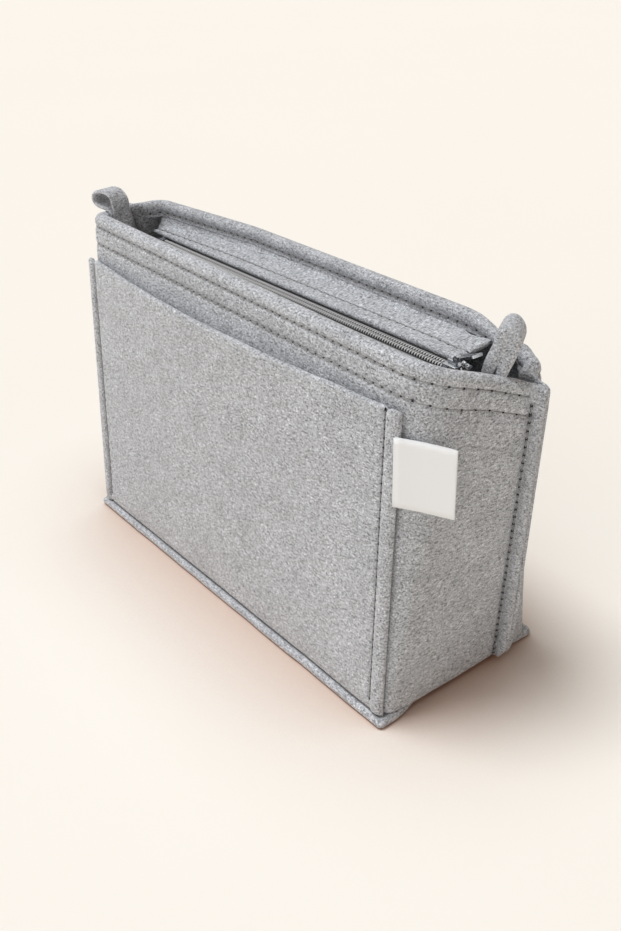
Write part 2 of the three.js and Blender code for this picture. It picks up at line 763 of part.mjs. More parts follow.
const pull = piece("zip_pull", zipPull(), metal);
pull.position.set(pinX, zipY, zipZ + pinZ);
pull.rotation.y = -degToRad(PULL_TILT);

// Each loop stands inside the hem of its wing, clear of it along the loop's whole width.
// side is -1 at the left and 1 at the right.
function insideHem(side, cornerPlace, seamPlace, fromFront, root) {
  const y = cornerPlace.y + fromFront;
  const reaches = [y - LOOP_WIDTH / 2, y + LOOP_WIDTH / 2].flatMap((edge) => {
    const rimPlace = wingRim(cornerPlace, seamPlace, edge);
    const rimReach = Math.abs(rimPlace.x);
    return [rimReach, lerp(footX, rimReach, (root - footZ) / (rimPlace.z - footZ))];
  });
  const distance = FELT / 2 + FELT + LOOP_GAP + FELT + LOOP_HOLLOW / 2;
  return new THREE.Vector3(side * (Math.min(...reaches) - distance), y, root);
}

const leftLoop = piece(
  "left_loop",
  loopGeometry({ rise: LEFT_LOOP_RISE, straight: LEFT_LOOP_STRAIGHT, lean: -LEFT_LOOP_LEAN }),
  felt,
);
leftLoop.position.copy(
  insideHem(-1, frontLeftRim, leftRim.place, LEFT_LOOP_FROM_FRONT, RIM_HEIGHT - LEFT_LOOP_DEPTH),
);

const rightLoop = piece(
  "right_loop",
  loopGeometry({ rise: RIGHT_LOOP_RISE, straight: RIGHT_LOOP_STRAIGHT, lean: RIGHT_LOOP_LEAN }),
  felt,
);
rightLoop.position.copy(
  insideHem(1, frontRightRim, rightRim.place, RIGHT_LOOP_FROM_FRONT, rimHeightRight - RIGHT_LOOP_DEPTH),
);

// The label stands off the right wing by its own angle, whichever way the wing runs
function rightWingTurn(z) {
  const share = (z - footZ) / (rimHeightRight - footZ);
  const front = foot(footX, -footY).lerp(frontRightRim, share);
  const rear = rightFoot.place.clone().lerp(rightRim.place, share);
  return Math.atan2(rear.y - front.y, rear.x - front.x);
}

const label = piece("side_label", sideLabel(), woven);
const labelY = frontPlaneY(0, LABEL_BOTTOM + LABEL_HEIGHT) - FELT;
label.position.set(pocketEnd + LABEL_THICKNESS, labelY, LABEL_BOTTOM);
label.rotation.z = rightWingTurn(LABEL_BOTTOM + LABEL_HEIGHT / 2) - degToRad(LABEL_FROM_WING);

export default group;
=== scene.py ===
"""Dresses the felt purse insert: felt sheets with hems and stitches, zip, loops and label."""

import bmesh
import bpy
import numpy as np
from mathutils import Matrix, Vector
from mathutils.kdtree import KDTree


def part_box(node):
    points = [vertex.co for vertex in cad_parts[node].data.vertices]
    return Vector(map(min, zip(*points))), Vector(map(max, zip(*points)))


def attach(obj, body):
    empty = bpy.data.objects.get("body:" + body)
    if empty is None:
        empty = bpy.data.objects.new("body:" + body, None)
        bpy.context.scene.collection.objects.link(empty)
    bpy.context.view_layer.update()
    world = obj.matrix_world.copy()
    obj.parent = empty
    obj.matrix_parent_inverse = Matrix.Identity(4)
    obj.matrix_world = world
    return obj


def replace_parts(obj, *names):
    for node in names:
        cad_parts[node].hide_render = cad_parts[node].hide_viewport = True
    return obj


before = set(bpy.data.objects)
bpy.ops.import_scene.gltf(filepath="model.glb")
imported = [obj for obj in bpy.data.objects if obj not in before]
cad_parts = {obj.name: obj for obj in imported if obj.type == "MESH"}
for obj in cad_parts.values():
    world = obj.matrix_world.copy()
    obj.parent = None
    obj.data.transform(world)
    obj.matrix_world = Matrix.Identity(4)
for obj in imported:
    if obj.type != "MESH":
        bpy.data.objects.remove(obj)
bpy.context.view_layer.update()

MM = 0.001
UP = np.array([0, 0, 1.0])

# Felt and its edges
FELT = 3 * MM
HALF = FELT / 2
GAP = 0.3 * MM
EDGE_ROUND = 1.3 * MM
EDGE_LEAST = 0.12
EDGE_SHARES = (0.0, 0.04, 0.14, 0.32, 0.6, 1.0)
MESH_STEP = 1.6 * MM
ROW_STEP = 2.4 * MM
WAVE_COUNT = 7
WAVE_SPREAD = (0.7, 1.6)
WAVE_LEVEL = 3.2

# Felt's look: noise scales, the fibres' turns and stretches, and shades as shares of its colour
FELT_LEVEL = 0.485
FELT_ROUGHNESS = 0.95
SHEEN = 0.2
SHEEN_ROUGHNESS = 0.6
CLOUD_SCALE = 70
CLOUD_SHADES = ((0.3, 0.93), (0.7, 1.06))
FIBRES = (
    (1550, (20, 15, 40), (1.0, 0.3, 0.8)),
    (1750, (-35, 50, -30), (0.3, 1.0, 0.8)),
)
FIBRE_ROUGHNESS = 0.6
FIBRE_SHADES = ((0.3, 0.34), (0.43, 0.92), (0.57, 1.08), (0.72, 1.5))
FIBRE_MIX = 0.85
PATCH_SCALE = 420
PATCH_SHADES = ((0.3, 0.84), (0.5, 1.0), (0.75, 1.1))
PATCH_MIX = 0.7
FELT_BUMP = 0.65
FELT_BUMP_DEPTH = 0.8 * MM

# Sewing
HEM_PITCH = 5.4 * MM
WING_PITCH = 7.2 * MM
SEAM_PITCH = 4.2 * MM
SEAM_GROOVE = 0.9 * MM
BOLD = 1.5
TRACK_STEP = 0.5 * MM
GROOVE_DEPTH = 0.55 * MM
GROOVE_REACH = 1.1 * MM
DIMPLE_DEPTH = 0.7 * MM
DIMPLE_REACH = 1.1 * MM
SINK_SPARE = 0.2 * MM
# A near-black disc of painted shade sits in each needle hole: its size, depth and peak
HOLE_SHADE_HALF_LENGTH = 0.85 * MM
HOLE_SHADE_HALF_WIDTH = 0.45 * MM
HOLE_SHADE_SHARE = 0.3
HOLE_SHADE_PEAK = 0.15 * MM
THREAD_RADIUS = 0.3 * MM
THREAD_LIFT = 0.22 * MM
THREAD_DIVE = 0.6
THREAD_SPAN = 0.42
THREAD_SIDES = 6
THREAD_RINGS = 5

# Walls; places of corners are in millimetres
FOOT_Z = 5.3
SIDE_FOOT_Z = 2.4
FOOT_X = 130.3
FOOT_Y = 47.4
RIM_Y = -38.4
FRONT_RIM_Z = 180
SEAM_FOLD = 2.2
SEAM_SPACING = 3.1
SEAM_REACH_FOOT = 8.2
SEAM_REACH_RIM = 6.2
SEAM_ROUND = 15 * MM
LOBE = 3.5 * MM
LOBE_DEPTH = 8 * MM
UNDER_HEIGHT = 4.5 * MM
UNDER_REACH = 3.2 * MM
UNDER_LIMIT = 0.96
LEAN_LIMIT = 0.93
TUCK_START = 6
TUCK_FADE = 26
BELLY = 3.0 * MM
BELLY_START = 60 * MM
BELLY_RISE = 80 * MM
BELLY_FADE = 14 * MM
WALL_WAVE = 0.3 * MM
WALL_WAVE_REACH = 70 * MM
WALL_WAVE_FADE = 20 * MM
CRUMPLE = 3.0 * MM
CRUMPLE_X = 108 * MM
CRUMPLE_Z = 138 * MM
CRUMPLE_FADE_X = 12 * MM
CRUMPLE_FADE_Z = 16 * MM
CRUMPLE_REACH = 12 * MM
CRUMPLE_STRETCH = np.array([1, 1, 0.45])
CRUMPLE_SEED = 17

# Hem
LINE_ONE = 6.6 * MM
LINE_TWO = 16 * MM
HEM_TOP = 26 * MM
HEM_END = 9 * MM
ROLL = 2.15 * MM
HEM_SWELL = 0.2 * MM
HEM_FADE = 5 * MM
HEM_OVERHANG = 1.5 * MM
HEM_STEP = 2 * MM
LAP = 0.1 * MM
ROLL_TURNS = np.radians(np.arange(0, 181, 12))

# Places of a wall's mesh rows in millimetres: over its foot, under its rim and behind its hem
RISES = (0, 0.06, 0.2, 0.45, 0.8, 1.3, 2, 3, 4.2, 5.6, 7.5, 10, 13)
DROPS = (
    26, 24, 22, 20.4, 19.2, 18.2, 17.4, 16.7, 16, 15.3, 14.6, 13.8, 12.8, 11.6, 10.4,
    9.4, 8.6, 7.9, 7.3, 6.9, 6.6, 6.3, 5.9, 5.4, 4.8, 4.2,
)
DROPS_BEHIND = (4.2, 4.9, 5.6, 6.2, 6.6, 7.0, 7.6, 8.2, 8.6, 9)

# Counts of mesh rows and columns: those that sewn lines leave free, those from a wall's turn to its
# wing's wider stitches, and the column at which a flap's sewn row is found
FOOT_ROWS = 6
PANEL_FOOT_ROWS = 7
SEAM_COLUMNS = 4
EDGE_SPARE = 4
TURN_COLUMNS = 8
FLAP_COLUMN = 60

# Pockets
POCKET_HALF = 130 * MM
POCKET_TOP = 160 * MM
POCKET_BOW = 9 * MM
BOW_POWER = 1.6
BACK_POCKET_LEFT = -112 * MM
BACK_POCKET_RIGHT = 122 * MM
INNER_HALF = 108 * MM
INNER_FOOT = 9 * MM
INNER_TOP = 112 * MM
INNER_BOW = 7 * MM
MARGIN = 6.4 * MM
RIDGE = 1.1 * MM
SIDE_GROOVE = 0.5 * MM
SIDE_SHIFT = 1.1 * MM
SIDE_MARKS = np.array([-2.6, -1.9, -1.4, -1.0, -0.6, 0, 0.6, 1.0, 1.4, 1.9, 2.6]) * MM
SIDE_INWARD = 0.9 * MM
SIDE_INWARD_REACH = 2.5 * MM
RIDGE_POWER = 0.7
FOOT_TUCK = 0.5 * MM
FOOT_TUCK_HEIGHT = 5 * MM
PANEL_WAVE = 0.35 * MM
PANEL_WAVE_REACH = 60 * MM
PANEL_WAVE_FADE = 20 * MM
NOTCH = 1.5 * MM
NOTCH_REACH = 1.7 * MM
TOP_CORNER = 2.6 * MM
TOP_CORNER_REACH = 3.2 * MM
TOP_WOBBLE = 0.4 * MM
TOP_WOBBLE_REACH = 30 * MM
TOP_POWER = 10

# Base, in millimetres but for its thread; each corner is (way in x, way in y, start of its turn
# in degrees, steps of the side after it), and each section point (inset, height)
BASE_HALF_X = 133.2
BASE_HALF_Y = 54
BASE_CORNER = 2.4
BASE_SECTION = (
    (8.0, 0.3), (2.4, 0.15), (0.8, 0.4), (0.15, 1.2), (0.0, 2.4), (0.3, 3.6), (1.1, 4.5),
    (2.2, 4.8), (3.4, 4.1), (4.4, 4.1), (8.0, 4.8),
)
BASE_SEWN_RING = 8
BASE_CORNERS = ((1, -1, -90, 28), (1, 1, 0, 66), (-1, 1, 90, 28), (-1, -1, 180, 66))
BASE_CORNER_POINTS = 6
DRAWN_IN = 7.0
DRAWN_BACK = 2.5
DRAW_X = 128
DRAW_X_REACH = 3
DRAW_FRONT_Y = -46
DRAW_FRONT_REACH = 30
DRAW_REAR_Y = 30
DRAW_REAR_REACH = 12
SECTION_X = 118
SECTION_Y = 40
SECTION_REACH = 10
BASE_WOBBLE = 0.25
BASE_WOBBLE_REACH = 24
BASE_SEED = 11
BASE_THREAD_DEPTH = -0.1 * MM

# Zip
ZIP_Y = -7 * MM
ZIP_Z = 165.4 * MM
ZIP_SAG = 0.4 * MM
ZIP_LEFT = -110 * MM
ZIP_BEND_X = 124 * MM
ZIP_BEND_HANDLE = np.array([3.6, 0.3, 0.3]) * MM
ZIP_BEND_STEPS = 24
LOOK_AHEAD = 0.5 * MM
ZIP_END = np.array([128, -3.4, 168.4]) * MM
SLIDER_FROM_END = 8.2 * MM
STOP_FROM_END = 1.2 * MM
TAPE_WIDTHS = np.array([0.2, 1.6, 2.6, 3.4, 5, 7, 10.6]) * MM
# Tape bands under the teeth that are coloured near-black as painted shade between the coil loops
TAPE_SHADE_BANDS = 3
TAPE_SPOTS = 90
TAPE_DROP = 0.5 * MM
TAPE_HALF = 0.35 * MM
TAPE_NARROWED = 0.8
TAPE_NARROW_FROM = 22 * MM
TAPE_NARROW_REACH = 18 * MM
TOOTH_PITCH = 1.6 * MM
TOOTH_LENGTH = 2.5 * MM
TOOTH_SIDES = 6
TOOTH_FLATNESS = 0.85
TOOTH_START = 0.1 * MM
TOOTH_FIRST = 0.5 * MM
TOOTH_SPARE = 1 * MM
TOOTH_RINGS = (
    (0.16, 0.25, 0.1), (0.1, 0.42, 0.6), (0.45, 0.4, 1.0), (0.9, 0.4, 0.8), (1.05, 0.25, 0.1),
)
FLAP_OVERRUN = 16.5 * MM
FLAP_WIDTH = 24 * MM
FLAP_STEP = 1.4 * MM
FLAP_STITCH = 7.0 * MM
FLAP_GROOVE = 0.5 * MM
FLAP_LATE_X = 102 * MM
FLAP_LATE_REACH = 10 * MM
FLAP_CLIMB = 2.5 * MM
FLAP_KNEE = 1.5 * MM
FLAP_KNEE_RISE = 0.6 * MM

# Loops and label
LOOP_ROWS = 110
LOOP_WAVE = 0.45 * MM
LOOP_WAVE_REACH = 11 * MM
LOOP_SEED = 21
LEFT_LOOP_WIDTH = 12 * MM
RIGHT_LOOP_WIDTH = 16 * MM
LABEL_ROOT = np.array([129.7, -46.2, 0]) * MM
LABEL_PATH = ((0, 0), (8, 7.4), (16.4, 14.2), (19.6, 16.9), (16.4, 15.2), (8, 8.4), (0, 1.0))
LABEL_HALF = 0.22 * MM
LABEL_DROP = 0.2
LABEL_COLUMNS = 26
LABEL_ROWS = 12

# Slider and stops in millimetres; the slider's plates, post, bridge and lips are (centre, size)
SLIDER_BLOCKS = (
    ((0, 0, 2.0), (7.6, 6.2, 1.0)),
    ((0, 0, -1.5), (7.6, 6.2, 0.9)),
    ((2.6, 0, 0.2), (1.6, 1.0, 3.2)),
    ((-0.4, 0, 3.2), (5.0, 1.5, 1.5)),
    ((0, 2.8, 1.2), (6.4, 0.7, 1.7)),
    ((0, -2.8, 1.2), (6.4, 0.7, 1.7)),
)
SLIDER_BEVEL = 0.35
STOP_SIDE = 1.6
STOP_RISE = 0.5
STOP_SIZE = (1.8, 2.2, 2.2)
STOP_BEVEL = 0.5

# Studio: lamps are (name, strength, spread in degrees, direction)
LAMPS = (("key", 2.06, 26, (0.2, 0.22, -0.95)), ("fill", 0.68, 60, (-0.12, 0.85, -0.5)))
LAMP_COLOR = (0.97, 1.0, 1.03)
WORLD_COLOR = (1.1, 0.98, 0.89, 1)
WORLD_STRENGTH = 0.26
SEEN_COLOR = (0.982, 0.925, 0.85, 1)
FLOOR_COLORS = ((0.945, 0.9, 0.825), (0.965, 0.92, 0.85))
# Painted shadow on the floor: ambient occlusion turns its colour brown and darker near the insert
FLOOR_PAINTED_SHADOW = ((0.2, (0.46, 0.25, 0.17)), (0.94, (1, 1, 1)))
FLOOR_ROUGHNESS = 0.9
FLOOR_SCALE = 2.5
FLOOR_HALF = 9
PAINTED_SHADOW_REACH = 100 * MM

# Camera, solved from the photograph's edges
CAMERA_PLACE = np.array([411.678, -303.271, 348.445]) * MM
CAMERA_RIGHT = np.array([0.61485, 0.78840, -0.01940])
CAMERA_UP = np.array([-0.37266, 0.31213, 0.87390])
FOCAL_PIXELS = 1073.37
FRAME_HEIGHT = 931
SENSOR = 36


def smooth(x):
    x = np.clip(x, 0, 1)
    return x * x * (3 - 2 * x)


def arc(x):
    """A quarter circle's rise from 0 to 1."""
    return np.sqrt(np.clip(1 - (1 - np.clip(x, 0, 1)) ** 2, 0, 1))


def unit(v):
    return v / np.maximum(np.linalg.norm(v, axis=-1, keepdims=True), 1e-12)


def run_length(points):
    steps = np.linalg.norm(np.diff(points, axis=0), axis=1)
    return np.concatenate([[0], np.cumsum(steps)])


def waves(points, reach, seed):
    """A smooth unevenness between about -1 and 1, the same on every run."""
    source = np.random.default_rng(seed)
    total = np.zeros(points.shape[:-1])
    for _ in range(WAVE_COUNT):
        way = unit(source.normal(size=3)) * 2 * np.pi / (reach * source.uniform(*WAVE_SPREAD))
        total += np.sin(points @ way + source.uniform(0, 2 * np.pi))
    return total / WAVE_LEVEL


# Materials
def material(name, color, roughness, metallic=0.0):
    mat = bpy.data.materials.new(name)
    mat.use_nodes = True
    shader = mat.node_tree.nodes["Principled BSDF"]
    shader.inputs["Base Color"].default_value = (*color, 1)
    shader.inputs["Roughness"].default_value = roughness
    shader.inputs["Metallic"].default_value = metallic
    return mat


class Nodes:
    """Short ways to add and join the nodes of one material."""

    def __init__(self, mat):
        self.tree = mat.node_tree
        self.shader = self.tree.nodes["Principled BSDF"]
        self.place = self.tree.nodes.new("ShaderNodeTexCoord").outputs["Object"]

    def add(self, kind, values=(), **settings):
        node = self.tree.nodes.new(kind)
        for name, value in settings.items():
            setattr(node, name, value)
        for name, value in dict(values).items():
            self.put(node.inputs[name], value)
        return node

    def put(self, socket, value):
        if isinstance(value, bpy.types.NodeSocket):
            self.tree.links.new(value, socket)
        else:
            socket.default_value = value

    def turned(self, angles, scale):
        values = {"Vector": self.place, "Rotation": tuple(np.radians(angles)), "Scale": scale}
        return self.add("ShaderNodeMapping", values).outputs["Vector"]

    def noise(self, scale, detail, rough=0.55, vector=None):
        values = {"Vector": vector or self.place, "Scale": scale}
        values |= {"Detail": detail, "Roughness": rough}
        return self.add("ShaderNodeTexNoise", values).outputs["Fac"]

    def ramp(self, fac, stops):
        node = self.add("ShaderNodeValToRGB", {"Fac": fac})
        elements = node.color_ramp.elements
        for k, (position, color) in enumerate(stops):
            element = elements[k] if k < 2 else elements.new(position)
            element.position = position
            element.color = (*color, 1)
        return node.outputs["Color"]

    def mix(self, fac, a, b, blend="MIX"):
        node = self.add("ShaderNodeMix", data_type="RGBA", blend_type=blend)
        for index, value in ((0, fac), (6, a), (7, b)):
            if isinstance(value, tuple):
                value = (*value, 1)
            self.put(node.inputs[index], value)
        return node.outputs[2]

    def bump(self, height, strength, distance):
        values = {"Height": height, "Strength": strength, "Distance": distance}
        self.put(self.shader.inputs["Normal"], self.add("ShaderNodeBump", values).outputs["Normal"])

    def base(self, color):
        self.put(self.shader.inputs["Base Color"], color)


def grey(value):
    return (value, value, value)


def cool(value):
    return (value * 0.975, value, value * 1.05)


def felt_material(name, level):
    """Pressed felt: soft clouds, and short fibres that lie every way, dark and pale."""
    mat = material(name, cool(level), FELT_ROUGHNESS)
    n = Nodes(mat)
    clouds = [(place, cool(level * shade)) for place, shade in CLOUD_SHADES]
    color = n.ramp(n.noise(CLOUD_SCALE, 1), clouds)
    layers = []
    for scale, angles, stretch in FIBRES:
        layers.append(n.noise(scale, 1, FIBRE_ROUGHNESS, n.turned(angles, stretch)))
    for fibres in layers:
        shades = n.ramp(fibres, [(place, grey(shade)) for place, shade in FIBRE_SHADES])
        color = n.mix(FIBRE_MIX, color, shades, "MULTIPLY")
    patches = [(place, grey(shade)) for place, shade in PATCH_SHADES]
    color = n.mix(PATCH_MIX, color, n.ramp(n.noise(PATCH_SCALE, 1), patches), "MULTIPLY")
    n.base(color)
    n.bump(n.mix(0.5, *layers), FELT_BUMP, FELT_BUMP_DEPTH)
    n.shader.inputs["Sheen Weight"].default_value = SHEEN
    n.shader.inputs["Sheen Roughness"].default_value = SHEEN_ROUGHNESS
    return mat


def woven_material(name, color, scale, contrast, roughness=0.8):
    """A fine woven band with ribs along both ways."""
    mat = material(name, color, roughness)
    n = Nodes(mat)
    weft = n.add("ShaderNodeTexWave", {"Vector": n.place, "Scale": scale, "Distortion": 0.6})
    warp = n.add("ShaderNodeTexWave", {"Vector": n.place, "Scale": scale, "Distortion": 0.6})
    warp.bands_direction = "Z"
    weave = n.mix(0.5, weft.outputs["Color"], warp.outputs["Color"])
    dark = tuple(c * (1 - contrast) for c in color)
    n.base(n.mix(weave, dark, color))
    n.bump(weave, 0.4, 0.15 * MM)
    return mat


def metal_material(name, color, roughness):
    """Plated metal with a faint uneven polish."""
    mat = material(name, color, roughness, 1.0)
    n = Nodes(mat)
    wear = n.ramp(n.noise(900, 4), [(0.35, grey(roughness * 0.7)), (0.7, grey(roughness * 1.5))])
    n.put(n.shader.inputs["Roughness"], wear)
    n.bump(n.noise(1500, 2), 0.08, 0.1 * MM)
    return mat


def speckled_material(name, color, roughness, scale, depth):
    """A plain stuff with a slight grain of its own."""
    mat = material(name, color, roughness)
    n = Nodes(mat)
    grain = n.noise(scale, 3)
    low = tuple(c * (1 - depth) for c in color)
    n.base(n.mix(grain, low, color))
    n.bump(grain, 0.3, 0.2 * MM)
    return mat


felt = felt_material("felt_grey", FELT_LEVEL)
thread = speckled_material("thread_grey", grey(0.4), 0.7, 2500, 0.4)
# Painted shade for the needle holes
painted_hole_shade = speckled_material("needle_hole_painted_shade", grey(0.012), 1.0, 900, 0.3)
tape = woven_material("zip_tape_woven", cool(0.3), 900, 0.35)
# Painted shade: the near-black tape core under the coil loops
tape_core_shade = woven_material("zip_tape_core_painted_shade", grey(0.012), 900, 0.3)
teeth = speckled_material("zip_coil", grey(0.78), 0.3, 1200, 0.2)
plated = metal_material("zip_plated", (0.47, 0.5, 0.54), 0.26)
ribbon = woven_material("label_ribbon_woven", (0.97, 0.975, 0.98), 1500, 0.04, 0.6)
board = speckled_material("stiffener_board", (0.6, 0.57, 0.5), 0.8, 700, 0.2)


# Meshes
def mesh_of(name, points, faces):
    mesh = bpy.data.meshes.new(name)
    mesh.from_pydata([tuple(p) for p in points], [], [tuple(f) for f in faces])
    mesh.update()
    return mesh


def linked(name, data):
    """A new object in the scene."""
    obj = bpy.data.objects.new(name, data)
    bpy.context.scene.collection.objects.link(obj)
    return obj


def add_object(name, mesh, mats, body, subdivide=0):
    """A visible piece, riding its body."""
    obj = linked(name, mesh)
    for mat in mats:
        mesh.materials.append(mat)
    mesh.polygons.foreach_set("use_smooth", [True] * len(mesh.polygons))
    if subdivide:
        modifier = obj.modifiers.new("smoother", "SUBSURF")
        modifier.levels = modifier.render_levels = subdivide
    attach(obj, body)
    return obj


def grid_faces(columns, rows, start=0, closed=False):
    faces = []
    for i in range(columns if closed else columns - 1):
        for j in range(rows - 1):
            a = start + i * rows + j
            b = start + (i + 1) % columns * rows + j
            faces.append((a, b, b + 1, a + 1))
    return faces


def marks(length, step, low_edge=True, high_edge=True):
    """Places from 0 to a length, closer together at edges that are rounded off."""
    low = [s * EDGE_ROUND for s in EDGE_SHARES] if low_edge else [0.0]
    high = [length - s * EDGE_ROUND for s in reversed(EDGE_SHARES)] if high_edge else [length]
    count = max(int(round((high[0] - low[-1]) / step)), 1)
    middle = np.linspace(low[-1], high[0], count + 1)[1:-1]
    return np.array([*low, *middle, *high])


def edge_half(distance, half=HALF):
    """Half the thickness at a distance from a cut edge that is rounded off."""
    return half * np.maximum(arc(distance / EDGE_ROUND), EDGE_LEAST)


class Sheet:
    """A felt sheet: the middle of its thickness, its outward directions and half its thickness."""

    def __init__(self, points, normals=None, half=HALF, flip=1):
        self.points = points
        if normals is None:
            along = np.gradient(points, axis=0)
            up = np.gradient(points, axis=1)
            normals = unit(np.cross(along, up)) * flip
        self.normals = normals
        self.half = np.broadcast_to(half, points.shape[:2])
        self.sunk = {1: np.zeros(points.shape[:2]), -1: np.zeros(points.shape[:2])}
        self.threads = []

    def face(self, side, sunk=True):
        lift = self.half - self.sunk[side] if sunk else self.half
        return self.points + self.normals * (side * lift)[..., None]

    def sew(self, columns, rows, side=1, pitch=SEAM_PITCH, depth=GROOVE_DEPTH, bold=1.0):
        """A sewn line along a run of columns or rows: a groove, dimples and the thread."""
        line = self.face(side, False)[columns, rows]
        outward = self.normals[columns, rows] * side
        run = run_length(line)
        count = max(int(round(run[-1] / pitch)), 1)
        holes, ways = sampled(line, outward, run, np.linspace(0, run[-1], count + 1))
        track = sampled(line, outward, run, np.arange(0, run[-1], TRACK_STEP))[0]
        self.sink(track, side, depth, GROOVE_REACH)
        self.sink(holes, side, DIMPLE_DEPTH, DIMPLE_REACH)
        self.threads.append((holes, ways, depth, bold))

    def sink(self, places, side, depth, reach):
        tree = KDTree(len(places))
        for k, place in enumerate(places):
            tree.insert(Vector(place), k)
        tree.balance()
        face = self.face(side, False).reshape(-1, 3)
        low, high = places.min(0) - 3 * reach, places.max(0) + 3 * reach
        near = np.nonzero(np.all((face > low) & (face < high), axis=1))[0]
        sunk = np.zeros(len(face))
        for k in near:
            distance = tree.find(Vector(face[k]))[2]
            sunk[k] = depth * np.exp(-((distance / reach) ** 2))
        sunk = self.sunk[side] + sunk.reshape(self.sunk[side].shape)
        self.sunk[side] = np.minimum(sunk, self.half + SINK_SPARE)

    def build(self, name, node, mat, held, body="insert", slot="felt"):
        columns, rows = self.points.shape[:2]
        count = columns * rows
        faces = grid_faces(columns, rows)
        faces += [tuple(reversed(f)) for f in grid_faces(columns, rows, count)]
        rim = [i * rows for i in range(columns)]
        rim += [(columns - 1) * rows + j for j in range(1, rows)]
        rim += [i * rows + rows - 1 for i in range(columns - 2, -1, -1)]
        rim += list(range(rows - 2, 0, -1))
        faces += [(b, a, a + count, b + count) for a, b in zip(rim, rim[1:] + rim[:1])]
        points = np.concatenate([self.face(1).reshape(-1, 3), self.face(-1).reshape(-1, 3)])
        mesh = mesh_of(name, points, faces)
        work = bmesh.new()
        work.from_mesh(mesh)
        bmesh.ops.recalc_face_normals(work, faces=work.faces)
        work.to_mesh(mesh)
        work.free()
        piece = add_object(name, mesh, [mat], body)
        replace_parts(piece, node)
        sewn = [add_threads(name + "_thread", self.threads, body)] if self.threads else []
        return piece


def sampled(line, outward, run, places):
    """Points and directions at places along a line."""
    at = [np.stack([np.interp(places, run, a[:, k]) for k in range(3)], 1) for a in (line, outward)]
    return at[0], unit(at[1])


def add_threads(name, lines, body):
    """The thread between each pair of needle holes, and a near-black disc of painted shade in each
    hole.
    """
    points, faces, slots = [], [], []
    turns = np.arange(THREAD_SIDES) * 2 * np.pi / THREAD_SIDES
    for holes, ways, depth, bold in lines:
        for a, b, up in zip(holes[:-1], holes[1:], ways[:-1]):
            across = unit(np.cross(unit(b - a), up))
            start = len(points)
            for share in np.linspace(-1, 1, THREAD_RINGS):
                rise = THREAD_LIFT - depth - THREAD_DIVE * DIMPLE_DEPTH * share**4
                centre = (a + b) / 2 + (b - a) * share * THREAD_SPAN + up * rise
                for t in turns:
                    points.append(centre + (across * np.cos(t) + up * np.sin(t)) * THREAD_RADIUS)
            for k in range(start, start + THREAD_SIDES * (THREAD_RINGS - 1)):
                after = k + 1 if (k + 1 - start) % THREAD_SIDES else k + 1 - THREAD_SIDES
                faces.append((k, after, after + THREAD_SIDES, k + THREAD_SIDES))
                slots.append(0)
        # Painted shade: a near-black disc sunk in each needle hole
        for place, up, along in zip(holes, ways, unit(np.gradient(holes, axis=0))):
            long = along * HOLE_SHADE_HALF_LENGTH * bold
            short = unit(np.cross(up, along)) * HOLE_SHADE_HALF_WIDTH * bold
            start = len(points)
            top = place - up * (depth + HOLE_SHADE_SHARE * DIMPLE_DEPTH)
            points += [top + long * np.cos(t) + short * np.sin(t) for t in turns]
            points.append(top + up * HOLE_SHADE_PEAK)
            for k in range(THREAD_SIDES):
                faces.append((start + k, start + (k + 1) % THREAD_SIDES, start + THREAD_SIDES))
                slots.append(1)
    mesh = mesh_of(name, points, faces)
    mesh.polygons.foreach_set("material_index", slots)
    return add_object(name, mesh, [thread, painted_hole_shade], body)


# Walls
def folded_line(places, folds, shares, fold_counts):
    """A line through the places, each one rounded over its fold."""
    places = np.array(places, float) * MM
    folds = np.array(folds, float) * MM
    starts, ends = [], []
    for k, place in enumerate(places):
        before = places[k - 1] if k else place
        after = places[k + 1] if k + 1 < len(places) else place
        starts.append(place + unit(before - place) * folds[k])
        ends.append(place + unit(after - place) * folds[k])
    line = [places[0]]
    for k in range(1, len(places)):
        line += [ends[k - 1] + (starts[k] - ends[k - 1]) * s for s in shares[k - 1]]
        if k + 1 == len(places):
            break
        for t in np.linspace(0, 1, fold_counts[k] + 1)[1:]:
            line.append((1 - t) ** 2 * starts[k] + 2 * t * (1 - t) * places[k] + t * t * ends[k])
    return np.array(line)


